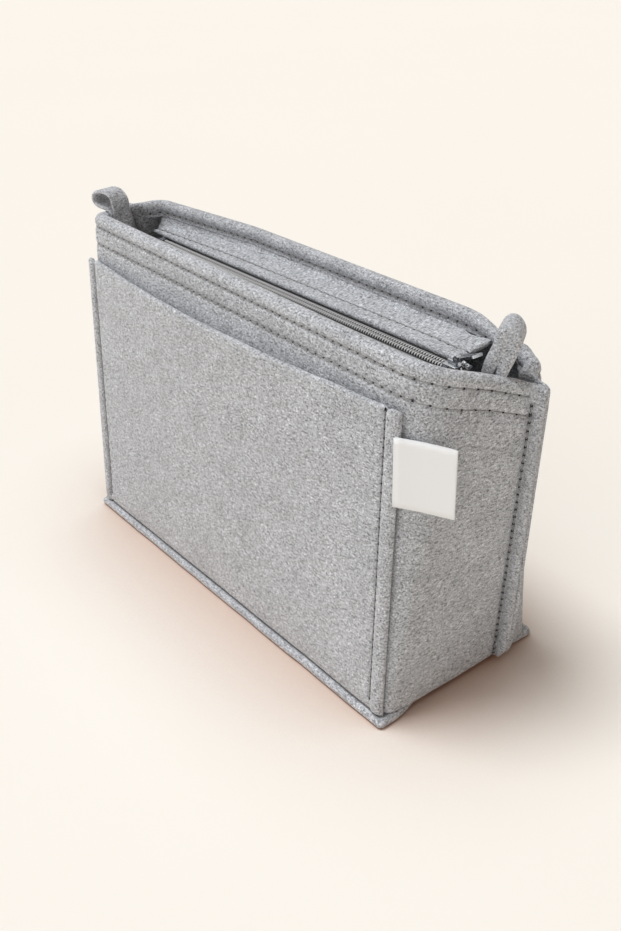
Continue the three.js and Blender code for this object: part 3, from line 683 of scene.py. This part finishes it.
class Wall:
    """A wrap's corners, each (foot place, rim place, foot fold, rim fold) in millimetres. Its long
    side lies between the two corners given; its wings' feet roll under where tucked says."""

    def __init__(self, corners, long_corners, tucked=0.0, crumpled=0.0, belly=0.0):
        feet, rims, foot_folds, rim_folds = zip(*corners)
        last = len(corners) - 1
        shares, fold_counts = [], [0]
        for k in range(last):
            gaps = [np.linalg.norm(np.subtract(line[k + 1], line[k])) * MM for line in (feet, rims)]
            gap = max(gaps)
            if k in (0, last - 1):
                shares.append(marks(gap, MESH_STEP, k == 0, k == last - 1)[1:] / gap)
            else:
                shares.append(np.linspace(0, 1, max(int(gap / MESH_STEP), 2) + 1)[1:])
            fold = max(foot_folds[k + 1], rim_folds[k + 1]) * MM
            fold_counts.append(max(int(2 * fold / MESH_STEP), 6))
        self.foot = folded_line(feet, foot_folds, shares, fold_counts)
        self.rim = folded_line(rims, rim_folds, shares, fold_counts)
        starts, ends, column = [0], [0], 0
        for k in range(1, last):
            starts.append(column + len(shares[k - 1]))
            column = starts[-1] + fold_counts[k]
            ends.append(column)
        self.seams = ((starts[1] + ends[1]) // 2, (starts[-1] + ends[-1]) // 2)
        self.hemmed = (ends[1], starts[-1])
        self.long = slice(starts[long_corners[0]], ends[long_corners[1]] + 1)
        self.turn = starts[long_corners[1]]
        self.tuck = tucked * smooth((self.foot[:, 1] / MM + FOOT_Y - TUCK_START) / TUCK_FADE)
        span = np.clip(self.foot[:, 0] / (FOOT_X * MM), -1, 1)
        self.belly = belly * (1 - span**2)
        self.crumpled = crumpled

    def outward(self, line):
        along = np.gradient(line, axis=0)
        along[:, 2] = 0
        along = unit(along)
        return np.stack([along[:, 1], -along[:, 0], np.zeros(len(along))], 1)

    def hem_share(self):
        """1 along the hem, 0 at the seams and their margins."""
        run = run_length(self.rim)
        first, last = self.hemmed
        return smooth(np.minimum(run - run[first], run[last] - run) / HEM_FADE)

    def make_rows(self, middle):
        """Each row's kind, its place and its turn around the hem's roll."""
        count = int((middle - HEM_TOP - RISES[-1] * MM) / ROW_STEP)
        rows = [("rise", r * MM, 0.0) for r in RISES]
        rows += [("share", s, 0.0) for s in np.linspace(0, 1, count + 1)[1:-1]]
        rows += [("drop", d * MM, 0.0) for d in DROPS]
        rows += [("roll", 0.0, a) for a in ROLL_TURNS]
        rows += [("drop", d * MM, np.pi) for d in DROPS_BEHIND]
        return rows

    def sheet(self, seed):
        height = np.linalg.norm(self.rim - self.foot, axis=1)
        hem = self.hem_share()
        self.rows = self.make_rows(height.max())
        low = self.rows[len(RISES) - 1][1]
        points, normals, half = [], [], []
        for kind, value, angle in self.rows:
            if kind == "rise":
                drop = height - value
            elif kind == "share":
                drop = (height - low) * (1 - value) + HEM_TOP * value
            elif kind == "drop":
                drop = value + 0 * height
            else:
                drop = HALF + ROLL * (1 - np.sin(angle)) + 0 * height
            rise = height - drop
            line = self.foot + (self.rim - self.foot) * (rise / height)[:, None]
            line = self.shaped(line, rise, drop)
            way = self.outward(line)
            inner = angle > np.pi / 2
            offset = -ROLL * (1 - np.cos(angle)) * hem - LAP * inner * (1 - hem)
            if not inner:
                doubled = smooth((LINE_TWO + HEM_OVERHANG - drop) / HEM_STEP)
                offset = offset + HEM_SWELL * hem * doubled
            under = np.clip(1 - rise / UNDER_HEIGHT, 0, 1)
            rolled = 1 - np.sqrt(1 - under**2 * UNDER_LIMIT)
            offset = offset - self.tuck * UNDER_REACH * rolled
            level = smooth(rise / WALL_WAVE_FADE) * smooth(drop / WALL_WAVE_FADE)
            offset = offset + WALL_WAVE * level * waves(line, WALL_WAVE_REACH, seed)
            swell = smooth((rise - BELLY_START) / BELLY_RISE)
            swell = swell * smooth((drop - LINE_TWO) / BELLY_FADE)
            offset = offset + self.belly * swell + self.crumple(line)
            points.append(line + way * offset[:, None])
            lean = self.tuck[:, None] * np.clip(under, 0, LEAN_LIMIT)[:, None]
            normal = way * np.cos(angle) + UP * np.sin(angle)
            normals.append(unit(normal * (1 - lean) - UP * lean))
            half.append(edge_half(rise))
        points, normals = np.stack(points, 1), np.stack(normals, 1)
        ends = [np.linalg.norm(points - points[k : k + 1 or None], axis=2) for k in (0, -1)]
        return Sheet(points, normals, np.minimum(np.stack(half, 1), edge_half(np.minimum(*ends))))

    def crumple(self, line):
        """The wall behind the right loop is pushed into folds."""
        along = smooth((line[:, 0] - CRUMPLE_X) / CRUMPLE_FADE_X)
        up = smooth((line[:, 2] - CRUMPLE_Z) / CRUMPLE_FADE_Z)
        folds = waves(line * CRUMPLE_STRETCH, CRUMPLE_REACH, CRUMPLE_SEED)
        return self.crumpled * along * up * folds

    def shaped(self, line, rise, drop):
        """Rounds the seam margins off at their feet and tops."""
        line = line.copy()
        scale = np.maximum(arc(rise / SEAM_ROUND), EDGE_LEAST)
        first, last = self.seams
        for columns, seam, end in ((slice(0, first), first, 0), (slice(last + 1, None), last, -1)):
            line[columns] = line[seam] + (line[columns] - line[seam]) * scale[columns, None]
            out = np.linalg.norm(line[columns] - line[end], axis=1)
            line[columns, 2] -= LOBE * (1 - arc(out / LOBE)) * np.exp(-drop[columns] / LOBE_DEPTH)
        return line

    def row(self, drop, inside=False):
        """The mesh row at a drop under the rim, outside or inside the hem."""
        angle = np.pi if inside else 0.0
        return self.rows.index(("drop", drop, angle))

    def y_at(self, x, z):
        """How far back the long side's middle lies at a place."""
        foot, rim = self.foot[self.long], self.rim[self.long]
        share = (z - foot[:, 2]) / (rim[:, 2] - foot[:, 2])
        line = foot + (rim - foot) * share[:, None]
        order = np.argsort(line[:, 0])
        return np.interp(x, line[order, 0], line[order, 1])

    def rim_z(self, x):
        """The height of the long side's rim at a place."""
        rim = self.rim[self.long]
        order = np.argsort(rim[:, 0])
        return np.interp(x, rim[order, 0], rim[order, 2])


def seam_places(place, turn_degrees, reach):
    """A seam's place, its margin's end, and the same two for the wrap behind it."""
    turn = np.radians(turn_degrees)
    along = np.array([np.cos(turn), np.sin(turn), 0])
    behind = np.array([-along[1], along[0], 0]) * np.sign(along[0])
    place = np.array(place, float)
    rear = place + behind * SEAM_SPACING
    return place, place + along * reach, rear, rear + along * reach


right_foot = seam_places((FOOT_X - 1.5, 25, SIDE_FOOT_Z), 0, SEAM_REACH_FOOT)
left_foot = seam_places((-FOOT_X, 25, SIDE_FOOT_Z), 180, SEAM_REACH_FOOT)
right_rim = seam_places((148, 15.1, 161), 20, SEAM_REACH_RIM)
left_rim = seam_places((-133, -14.9, 183), 180, SEAM_REACH_RIM)

front_wall = Wall(
    [
        (left_foot[1], left_rim[1], 0, 0),
        (left_foot[0], left_rim[0], SEAM_FOLD, SEAM_FOLD),
        ((-FOOT_X, -FOOT_Y, FOOT_Z), (-128, RIM_Y, 184), 4, 6),
        ((FOOT_X, -FOOT_Y, FOOT_Z), (139, RIM_Y, 180), 4, 19),
        ((FOOT_X, 32 - FOOT_Y, SIDE_FOOT_Z), (142.6, RIM_Y + 26, 171.5), 20, 6),
        (right_foot[0], right_rim[0], SEAM_FOLD, SEAM_FOLD),
        (right_foot[1], right_rim[1], 0, 0),
    ],
    long_corners=(2, 3),
    tucked=1.0,
    belly=BELLY,
)
back_wall = Wall(
    [
        (right_foot[3], right_rim[3], 0, 0),
        (right_foot[2], right_rim[2], SEAM_FOLD, SEAM_FOLD),
        ((FOOT_X - 3, FOOT_Y, FOOT_Z), (130, 30.6, 168), 4, 6),
        ((108, FOOT_Y, FOOT_Z), (108, 21.6, 180), 8, 8),
        ((-52, FOOT_Y, FOOT_Z), (-52, 17, 182.7), 8, 8),
        ((-FOOT_X, FOOT_Y, FOOT_Z), (-131, 5.6, 184), 4, 10),
        (left_foot[2], left_rim[2], SEAM_FOLD, SEAM_FOLD),
        (left_foot[3], left_rim[3], 0, 0),
    ],
    long_corners=(2, 5),
    crumpled=CRUMPLE,
)


def make_wraps():
    """The two wraps, with the lines sewn along their hems and down their side seams."""
    for seed, (name, wall) in enumerate((("front_wrap", front_wall), ("back_wrap", back_wall))):
        sheet = wall.sheet(seed)
        first, last = wall.seams
        turn = wall.turn + TURN_COLUMNS if wall is front_wall else last
        for row in (wall.row(LINE_ONE), wall.row(LINE_TWO)):
            sheet.sew(slice(first, turn + 1), row, 1, HEM_PITCH)
            if turn < last:
                sheet.sew(slice(turn, last + 1), row, 1, WING_PITCH)
        inside = slice(first + SEAM_COLUMNS + 1, last - SEAM_COLUMNS)
        sheet.sew(inside, wall.row(LINE_ONE, True), 1, HEM_PITCH)
        for column in (first, last):
            rows = slice(FOOT_ROWS, wall.row(LINE_ONE) + 1)
            sheet.sew(column, rows, 1, SEAM_PITCH, SEAM_GROOVE, BOLD)
        sheet.build(name + "_felt", name, felt, "folded")


def front_plane(x, z):
    """How far back the flat middle of the front wall lies at a height."""
    share = (z - FOOT_Z * MM) / ((FRONT_RIM_Z - FOOT_Z) * MM)
    return (-FOOT_Y + (RIM_Y + FOOT_Y) * share) * MM + 0 * x


# Panels
def make_panel(node, left, right, bottom, top, bow, side, line_y, seed):
    """A felt panel sewn on a wall at its foot and sides, its top edge bowed away."""
    xs = left + marks(right - left, MESH_STEP)
    xs = np.unique(np.concatenate([xs, left + MARGIN + SIDE_MARKS, right - MARGIN + SIDE_MARKS]))
    zs = bottom + marks(top - bottom, ROW_STEP)
    x, z = np.meshgrid(xs, zs, indexing="ij")
    rise = (z - bottom) / (top - bottom)
    across = 1 - (2 * (x - left) / (right - left) - 1) ** 2
    edge = np.minimum(x - left, right - x)
    ridge = RIDGE * np.sin(np.pi * np.clip(edge / MARGIN, 0, 1)) ** RIDGE_POWER
    inward = SIDE_INWARD * (1 - smooth(edge / SIDE_INWARD_REACH))
    tuck = FOOT_TUCK * (1 - smooth((z - bottom) / FOOT_TUCK_HEIGHT))
    flat = np.stack([x, 0 * x, z], -1)
    lift = FELT + GAP + bow * across * rise**BOW_POWER + ridge - inward - tuck
    lift = lift + PANEL_WAVE * waves(flat, PANEL_WAVE_REACH, seed) * smooth(edge / PANEL_WAVE_FADE)
    notch = NOTCH * np.exp(-(((edge - MARGIN) / NOTCH_REACH) ** 2))
    corner = TOP_CORNER * (1 - arc(edge / TOP_CORNER_REACH))
    wobble = TOP_WOBBLE * waves(flat * np.array([1, 0, 0]), TOP_WOBBLE_REACH, seed + 1)
    wall = np.stack([line_y(xs, h) for h in zs], 1)
    half = np.minimum(edge_half(edge), edge_half(np.minimum(z - bottom, top - z)))
    z = z - (notch + corner - wobble) * rise**TOP_POWER
    sheet = Sheet(np.stack([x, wall + side * lift, z], -1), flip=-side, half=half)
    for seam in (left + MARGIN + SIDE_SHIFT, right - MARGIN - SIDE_SHIFT):
        column = int(np.argmin(abs(xs - seam)))
        rows = slice(PANEL_FOOT_ROWS, len(zs) - EDGE_SPARE)
        sheet.sew(column, rows, 1, SEAM_PITCH, SIDE_GROOVE, BOLD)
    sheet.build(node + "_felt", node, felt, "stretched")


def make_panels():
    """The front and back pockets, and the two low pockets inside."""
    foot = FOOT_Z * MM + GAP
    back_y = back_wall.y_at
    outer = (foot, POCKET_TOP, POCKET_BOW)
    make_panel("front_pocket", -POCKET_HALF, POCKET_HALF, *outer, -1, front_plane, 3)
    make_panel("back_pocket", BACK_POCKET_LEFT, BACK_POCKET_RIGHT, *outer, 1, back_y, 5)
    inner = (-INNER_HALF, INNER_HALF, INNER_FOOT, INNER_TOP, INNER_BOW)
    make_panel("inner_front_pocket", *inner, 1, front_plane, 7)
    make_panel("inner_back_pocket", *inner, -1, back_y, 9)


def base_outline():
    """The base's edge, corner by corner, in millimetres."""
    centre_x, centre_y = BASE_HALF_X - BASE_CORNER, BASE_HALF_Y - BASE_CORNER
    outline = []
    for cx, cy, start, steps in BASE_CORNERS:
        turns = np.radians(start + np.linspace(0, 90, BASE_CORNER_POINTS))
        round_x = cx * centre_x + BASE_CORNER * np.cos(turns)
        round_y = cy * centre_y + BASE_CORNER * np.sin(turns)
        outline += list(zip(round_x, round_y))
        side = np.linspace(-1, 1, steps + 1)[1:-1]
        if cx * cy < 0:
            outline += [(cx * BASE_HALF_X, cx * centre_y * s) for s in side]
        else:
            outline += [(-cx * centre_x * s, cy * BASE_HALF_Y) for s in side]
    return outline


def make_base():
    """The base: a felt slab with a soft rolled edge, drawn in along the two side walls."""
    points = []
    outline = base_outline()
    for x, y in outline:
        front = smooth((y - DRAW_FRONT_Y) / DRAW_FRONT_REACH)
        rear = smooth((y - DRAW_REAR_Y) / DRAW_REAR_REACH)
        draw = front * smooth((abs(x) - DRAW_X) / DRAW_X_REACH) * (DRAWN_IN - DRAWN_BACK * rear)
        wobble = BASE_WOBBLE * waves(np.array([x, y, 0.0]), BASE_WOBBLE_REACH, BASE_SEED)
        for inset, z in BASE_SECTION:
            reach_x = (inset + draw + wobble) * np.clip((abs(x) - SECTION_X) / SECTION_REACH, 0, 1)
            reach_y = (inset + wobble) * np.clip((abs(y) - SECTION_Y) / SECTION_REACH, 0, 1)
            points.append((np.sign(x) * (abs(x) - reach_x), np.sign(y) * (abs(y) - reach_y), z))
    points = np.array(points) * MM
    count, rings = len(outline), len(BASE_SECTION)
    faces = grid_faces(count, rings, closed=True)
    faces.append(tuple(k * rings for k in reversed(range(count))))
    faces.append(tuple(k * rings + rings - 1 for k in range(count)))
    mesh = mesh_of("base_felt", points, faces)
    piece = add_object("base_felt", mesh, [felt], "insert", subdivide=1)
    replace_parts(piece, "base_panel")
    lip = points.reshape(count, rings, 3)[:, BASE_SEWN_RING]
    lip = np.concatenate([lip, lip[:1]])
    run = run_length(lip)
    places = np.arange(0, run[-1], SEAM_PITCH)
    holes, ways = sampled(lip, np.tile(UP, (len(lip), 1)), run, places)
    add_threads("base_felt_thread", [(holes, ways, BASE_THREAD_DEPTH, 1.0)], "insert")


# Zip
def zip_line(count):
    """The zip's middle: straight with a slight sag, then turned back and up at its right end."""
    straight = np.linspace(ZIP_LEFT, ZIP_BEND_X, count)
    share = (straight - ZIP_LEFT) / (ZIP_BEND_X - ZIP_LEFT)
    sag = ZIP_SAG * (1 - smooth(share))
    line = np.stack([straight, np.full(count, ZIP_Y), ZIP_Z - sag], 1)
    handle = line[-1] + ZIP_BEND_HANDLE
    t = np.linspace(0, 1, ZIP_BEND_STEPS)[1:, None]
    bend = (1 - t) ** 2 * line[-1] + 2 * t * (1 - t) * handle + t * t * ZIP_END
    return np.concatenate([line, bend])


def along_line(line, places):
    """Points at places along a line, and the ways along, across and up there."""
    run = run_length(line)
    at = []
    for shift in (0, LOOK_AHEAD, -LOOK_AHEAD):
        at.append(np.stack([np.interp(places + shift, run, line[:, k]) for k in range(3)], 1))
    along = unit(at[1] - at[2])
    across = unit(np.cross(UP, along))
    return at[0], along, across, np.cross(along, across)


def make_teeth():
    """Two rows of coil loops, each a rounded bar from its tape to the middle line."""
    line = zip_line(120)
    places = np.arange(TOOTH_FIRST, run_length(line)[-1] - TOOTH_SPARE, TOOTH_PITCH)
    sides, last = TOOTH_SIDES, len(TOOTH_RINGS) - 1
    turns = np.arange(sides) * 2 * np.pi / sides
    for name, side in (("front_zip_teeth", -1), ("back_zip_teeth", 1)):
        shift = 0 if side < 0 else TOOTH_PITCH / 2
        points, faces = [], []
        for p, a, c, u in zip(*along_line(line, places + shift)):
            start = len(points)
            for share, radius, rise in TOOTH_RINGS:
                centre = p + c * side * (share * TOOTH_LENGTH + TOOTH_START) + u * rise * MM
                for t in turns:
                    way = a * np.cos(t) * TOOTH_FLATNESS + u * np.sin(t)
                    points.append(centre + way * radius * MM)
            for r in range(last):
                for s in range(sides):
                    x, y = start + r * sides + s, start + r * sides + (s + 1) % sides
                    faces.append((x, y, y + sides, x + sides))
            faces.append(tuple(range(start, start + sides)))
            faces.append(tuple(range(start + last * sides, start + (last + 1) * sides)))
        mesh = mesh_of(name, points, faces)
        piece = add_object(name + "_coil", mesh, [teeth], "insert")
        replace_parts(piece, name)


def make_tapes():
    """Woven tapes, with a near-black core of painted shade beneath the teeth, and narrow at the
    zip's right end.
    """
    line = zip_line(60)
    length = run_length(line)[-1]
    spots = np.linspace(0, length, TAPE_SPOTS)
    places, along, across, up = along_line(line, spots)
    narrow = 1 - TAPE_NARROWED * smooth((spots - length + TAPE_NARROW_FROM) / TAPE_NARROW_REACH)
    for name, side in (("front_zip_tape", -1), ("back_zip_tape", 1)):
        ways = [across * side * (w * narrow)[:, None] for w in TAPE_WIDTHS]
        grid = [places + way - up * TAPE_DROP for way in ways]
        sheet = Sheet(np.stack(grid, 1), flip=side, half=TAPE_HALF)
        piece = sheet.build(name + "_woven", name, tape, "stretched", slot="zip_tape")
        piece.data.materials.append(tape_core_shade)
        bands = len(TAPE_WIDTHS) - 1
        # Painted shade: the bands under the teeth take the near-black core
        for k in range(2 * bands * (len(spots) - 1)):
            piece.data.polygons[k].material_index = int(k % bands < TAPE_SHADE_BANDS)


def make_flaps():
    """Felt strips that leave the hem, sweep down the wall and end beside the zip."""
    line = zip_line(200)
    length = run_length(line)[-1]
    for name, side, wall, setback, rise, short in (
        ("front_zip_flap", -1, front_wall, 9.2 * MM, -2.6 * MM, 20 * MM),
        ("back_zip_flap", 1, back_wall, 3.7 * MM, 2.0 * MM, 11.3 * MM),
    ):
        spots = marks(length - short + FLAP_OVERRUN, MESH_STEP) - FLAP_OVERRUN
        places, along, across, up = along_line(line, np.maximum(spots, 0))
        places = places + along * np.minimum(spots, 0)[:, None]
        edge = places + across * side * setback + UP * rise
        x = edge[:, 0]
        late = smooth((x - FLAP_LATE_X) / FLAP_LATE_REACH)
        top_z = np.maximum(wall.rim_z(x) - HEM_END - GAP, edge[:, 2] + FLAP_CLIMB)
        depth = 2 * ROLL + late * (FELT + GAP)
        inner = np.array([wall.y_at(a, b) for a, b in zip(x, top_z)]) - side * depth
        top = np.stack([x, inner, top_z], 1)
        knee = np.stack([x, inner - side * FLAP_KNEE, edge[:, 2] + FLAP_KNEE_RISE], 1)
        shares = marks(FLAP_WIDTH, FLAP_STEP, True, False) / FLAP_WIDTH
        grid = [(1 - t) ** 2 * edge + 2 * t * (1 - t) * knee + t * t * top for t in shares]
        points = np.stack(grid, 1)
        near = np.linalg.norm(points - points[:, :1], axis=2)
        ends = np.minimum(spots - spots[0], spots[-1] - spots)[:, None]
        sheet = Sheet(points, flip=side, half=np.minimum(edge_half(near), edge_half(ends)))
        row = int(np.argmin(abs(near[FLAP_COLUMN] - FLAP_STITCH)))
        columns = slice(EDGE_SPARE, len(spots) - EDGE_SPARE)
        sheet.sew(columns, row, 1, HEM_PITCH, FLAP_GROOVE)
        sheet.build(name + "_felt", name, felt, "folded")


# Loops and label
def curve_points(handles, count):
    """A smooth line through the given handles."""
    handles = np.array(handles, float)
    before, after = 2 * handles[0] - handles[1], 2 * handles[-1] - handles[-2]
    padded = np.concatenate([[before], handles, [after]])
    out = []
    for w in np.linspace(0, len(handles) - 1, count):
        k = min(int(w), len(handles) - 2)
        t = w - k
        p0, p1, p2, p3 = padded[k : k + 4]
        curve = 2 * p1 + (p2 - p0) * t + (2 * p0 - 5 * p1 + 4 * p2 - p3) * t**2
        out.append((curve + (3 * p1 - p0 - 3 * p2 + p3) * t**3) / 2)
    return np.array(out)


def make_loop(node, body, handles, centre, turn_degrees, width):
    """A folded strap. Each handle is (across, up, half thickness, sideways) in millimetres."""
    turn = np.radians(turn_degrees)
    across = np.array([np.cos(turn), np.sin(turn), 0])
    wide = np.array([np.sin(turn), -np.cos(turn), 0])
    path = curve_points(handles, LOOP_ROWS) * MM
    shares = marks(width, MESH_STEP) - width / 2
    line = np.array(centre) * MM + across * path[:, :1] + UP * path[:, 1:2] + wide * path[:, 3:]
    grid = line[:, None] + wide * shares[None, :, None]
    grid = grid + LOOP_WAVE * waves(grid, LOOP_WAVE_REACH, LOOP_SEED)[..., None] * across
    distance = (width / 2 - abs(shares))[None, :] + 0 * path[:, :1]
    sheet = Sheet(grid, half=edge_half(distance, path[:, 2:3]))
    sheet.build(node + "_felt", node, felt, "folded", body=body)


def make_loops():
    """The left loop curls over outward; the right one is a plain fold."""
    left = [
        (5.4, -1, 1.0, 0), (5.4, 8, 1.0, 0), (5.2, 13, 1.0, 0), (4.2, 16.4, 1.0, 0.2),
        (1.4, 18.6, 1.0, 0.5), (-2.6, 19.2, 1.0, 1.0), (-6.4, 20.4, 1.0, 1.4), (-8, 23, 1.0, 1.5),
        (-6.4, 26, 1.0, 1.5), (-2, 27.8, 1.0, 1.2), (3, 27.4, 1.0, 0.9), (6.6, 24.8, 1.0, 0.6),
        (7.5, 20.5, 1.0, 0.3), (7.6, 15, 1.1, 0), (7.9, 11, 1.4, 0), (7.5, 7, 1.0, 0),
        (7.5, 3, 1.0, 0), (7.5, -1, 1.0, 0),
    ]
    make_loop("left_loop", "left_strap", left, (-129.4, -26.2, 166.5), 12, LEFT_LOOP_WIDTH)
    right = [
        (4.0, 0, 1.5, 0), (4.2, 6, 1.8, 0), (5.0, 12, 2.5, 0), (6.7, 18, 3.1, 0), (8.4, 24, 3.1, 0),
        (8.6, 28, 2.8, 0), (6.8, 30.2, 2.4, 0), (4.8, 29.2, 2.6, 0), (3.4, 24, 3.1, 0),
        (1.7, 18, 3.1, 0), (-0.6, 12, 2.5, 0), (-3.0, 6, 1.8, 0), (-4.0, 0, 1.5, 0),
    ]
    make_loop("right_loop", "right_strap", right, (134.2, 4.3, 156), 33, RIGHT_LOOP_WIDTH)


def make_label():
    """A folded ribbon held in the front right seam; nothing is printed on it."""
    low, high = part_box("side_label")
    path = curve_points([(x, y, 0) for x, y in LABEL_PATH], LABEL_COLUMNS) * MM + LABEL_ROOT
    heights = low.z + (high.z - low.z) * np.linspace(0, 1, LABEL_ROWS)
    grid = np.stack([path + UP * height for height in heights], 1)
    grid[..., 2] -= LABEL_DROP * (grid[..., 0] - LABEL_ROOT[0])
    sheet = Sheet(grid, half=LABEL_HALF)
    sheet.build("side_label_ribbon", "side_label", ribbon, "folded", slot="label_ribbon")


def rounded_blocks(node, blocks, turn, body, bevel):
    """Blocks (centre, size) in millimetres, bevelled and placed by turn."""
    work = bmesh.new()
    for centre, size in blocks:
        made = bmesh.ops.create_cube(work, size=1.0)
        scale = Matrix.Diagonal((*(s * MM for s in size), 1))
        place = Matrix.Translation(Vector(centre) * MM) @ scale
        bmesh.ops.transform(work, matrix=place, verts=made["verts"])
    bmesh.ops.bevel(
        work, geom=work.edges[:], offset=bevel * MM, segments=2, profile=0.6, affect="EDGES",
        clamp_overlap=True,
    )
    bmesh.ops.transform(work, matrix=turn, verts=work.verts)
    mesh = bpy.data.meshes.new(node + "_plated")
    work.to_mesh(mesh)
    work.free()
    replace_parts(add_object(node + "_plated", mesh, [plated], body), node)


def place_on_zip(from_end):
    """A turn and place on the zip, so far before its right end."""
    line = zip_line(120)
    places, along, across, up = along_line(line, np.array([run_length(line)[-1] - from_end]))
    turn = Matrix((along[0], across[0], up[0])).transposed().to_4x4()
    turn.translation = Vector(places[0])
    return turn


def make_hardware():
    """The slider's plates, bridge and side lips, and the two stops at the zip's right end."""
    turn = place_on_zip(SLIDER_FROM_END)
    rounded_blocks("zip_slider", SLIDER_BLOCKS, turn, "slider", SLIDER_BEVEL)
    turn = place_on_zip(STOP_FROM_END)
    for node, side in (("front_top_stop", -1), ("back_top_stop", 1)):
        block = [((0, side * STOP_SIDE, STOP_RISE), STOP_SIZE)]
        rounded_blocks(node, block, turn, "insert", STOP_BEVEL)


# Studio
def make_floor():
    """A pale floor with a painted shadow: warmer and darker where the insert stands on it."""
    floor_mat = material("floor_pale_painted_shadow", FLOOR_COLORS[0], FLOOR_ROUGHNESS)
    n = Nodes(floor_mat)
    pale = n.mix(n.noise(FLOOR_SCALE, 2), *FLOOR_COLORS)
    # Painted shadow: the floor's colour goes brown and darker where ambient occlusion finds the
    # insert near
    near = n.add("ShaderNodeAmbientOcclusion", {"Distance": PAINTED_SHADOW_REACH}, samples=8).outputs["AO"]
    n.base(n.mix(1.0, pale, n.ramp(near, FLOOR_PAINTED_SHADOW), "MULTIPLY"))
    corners = [(x * FLOOR_HALF, y * FLOOR_HALF, 0) for x, y in ((-1, -1), (1, -1), (1, 1), (-1, 1))]
    mesh = mesh_of("floor", corners, [(0, 1, 2, 3)])
    mesh.materials.append(floor_mat)
    linked("floor", mesh)


def make_world():
    """The light of the surroundings, and the pale backdrop that the camera and metal see."""
    world = bpy.data.worlds.new("studio")
    bpy.context.scene.world = world
    world.use_nodes = True
    tree = world.node_tree
    join = tree.links.new
    light = tree.nodes["Background"]
    light.inputs["Color"].default_value = WORLD_COLOR
    light.inputs["Strength"].default_value = WORLD_STRENGTH
    seen = tree.nodes.new("ShaderNodeBackground")
    seen.inputs["Color"].default_value = SEEN_COLOR
    rays = tree.nodes.new("ShaderNodeLightPath").outputs
    direct = rays["Is Camera Ray"]
    for kind in ("Is Glossy Ray", "Is Transmission Ray"):
        either = tree.nodes.new("ShaderNodeMath")
        either.operation = "MAXIMUM"
        join(direct, either.inputs[0])
        join(rays[kind], either.inputs[1])
        direct = either.outputs[0]
    blend = tree.nodes.new("ShaderNodeMixShader")
    join(direct, blend.inputs[0])
    join(light.outputs[0], blend.inputs[1])
    join(seen.outputs[0], blend.inputs[2])
    join(blend.outputs[0], tree.nodes["World Output"].inputs["Surface"])


def make_lamps():
    """A soft key from above and a weaker fill from the front."""
    for name, strength, spread, way in LAMPS:
        lamp = bpy.data.lights.new(name, "SUN")
        lamp.energy = strength
        lamp.angle = np.radians(spread)
        lamp.color = LAMP_COLOR
        linked(name, lamp).rotation_euler = Vector(way).to_track_quat("-Z", "Y").to_euler()


def make_camera():
    """The photograph's camera."""
    data = bpy.data.cameras.new("photo_camera")
    data.lens = SENSOR * FOCAL_PIXELS / FRAME_HEIGHT
    data.sensor_width = SENSOR
    data.clip_start = 0.01
    camera = linked("photo_camera", data)
    back = np.cross(CAMERA_RIGHT, CAMERA_UP)
    turn = Matrix((CAMERA_RIGHT, CAMERA_UP, back)).transposed().to_4x4()
    turn.translation = Vector(CAMERA_PLACE)
    camera.matrix_world = turn
    bpy.context.scene.camera = camera


def dress_kept_nodes():
    """Solids whose shape is right stay and take their finish here."""
    kept = {"base_stiffener": board, "bottom_stop": plated, "zip_pull": plated}
    for name, mat in kept.items():
        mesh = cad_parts[name].data
        mesh.materials.clear()
        mesh.materials.append(mat)


make_camera()
make_floor()
make_world()
make_lamps()
make_wraps()
make_panels()
make_base()
make_tapes()
make_teeth()
make_flaps()
make_loops()
make_label()
make_hardware()
dress_kept_nodes()

bpy.context.scene.view_settings.view_transform = "Standard"
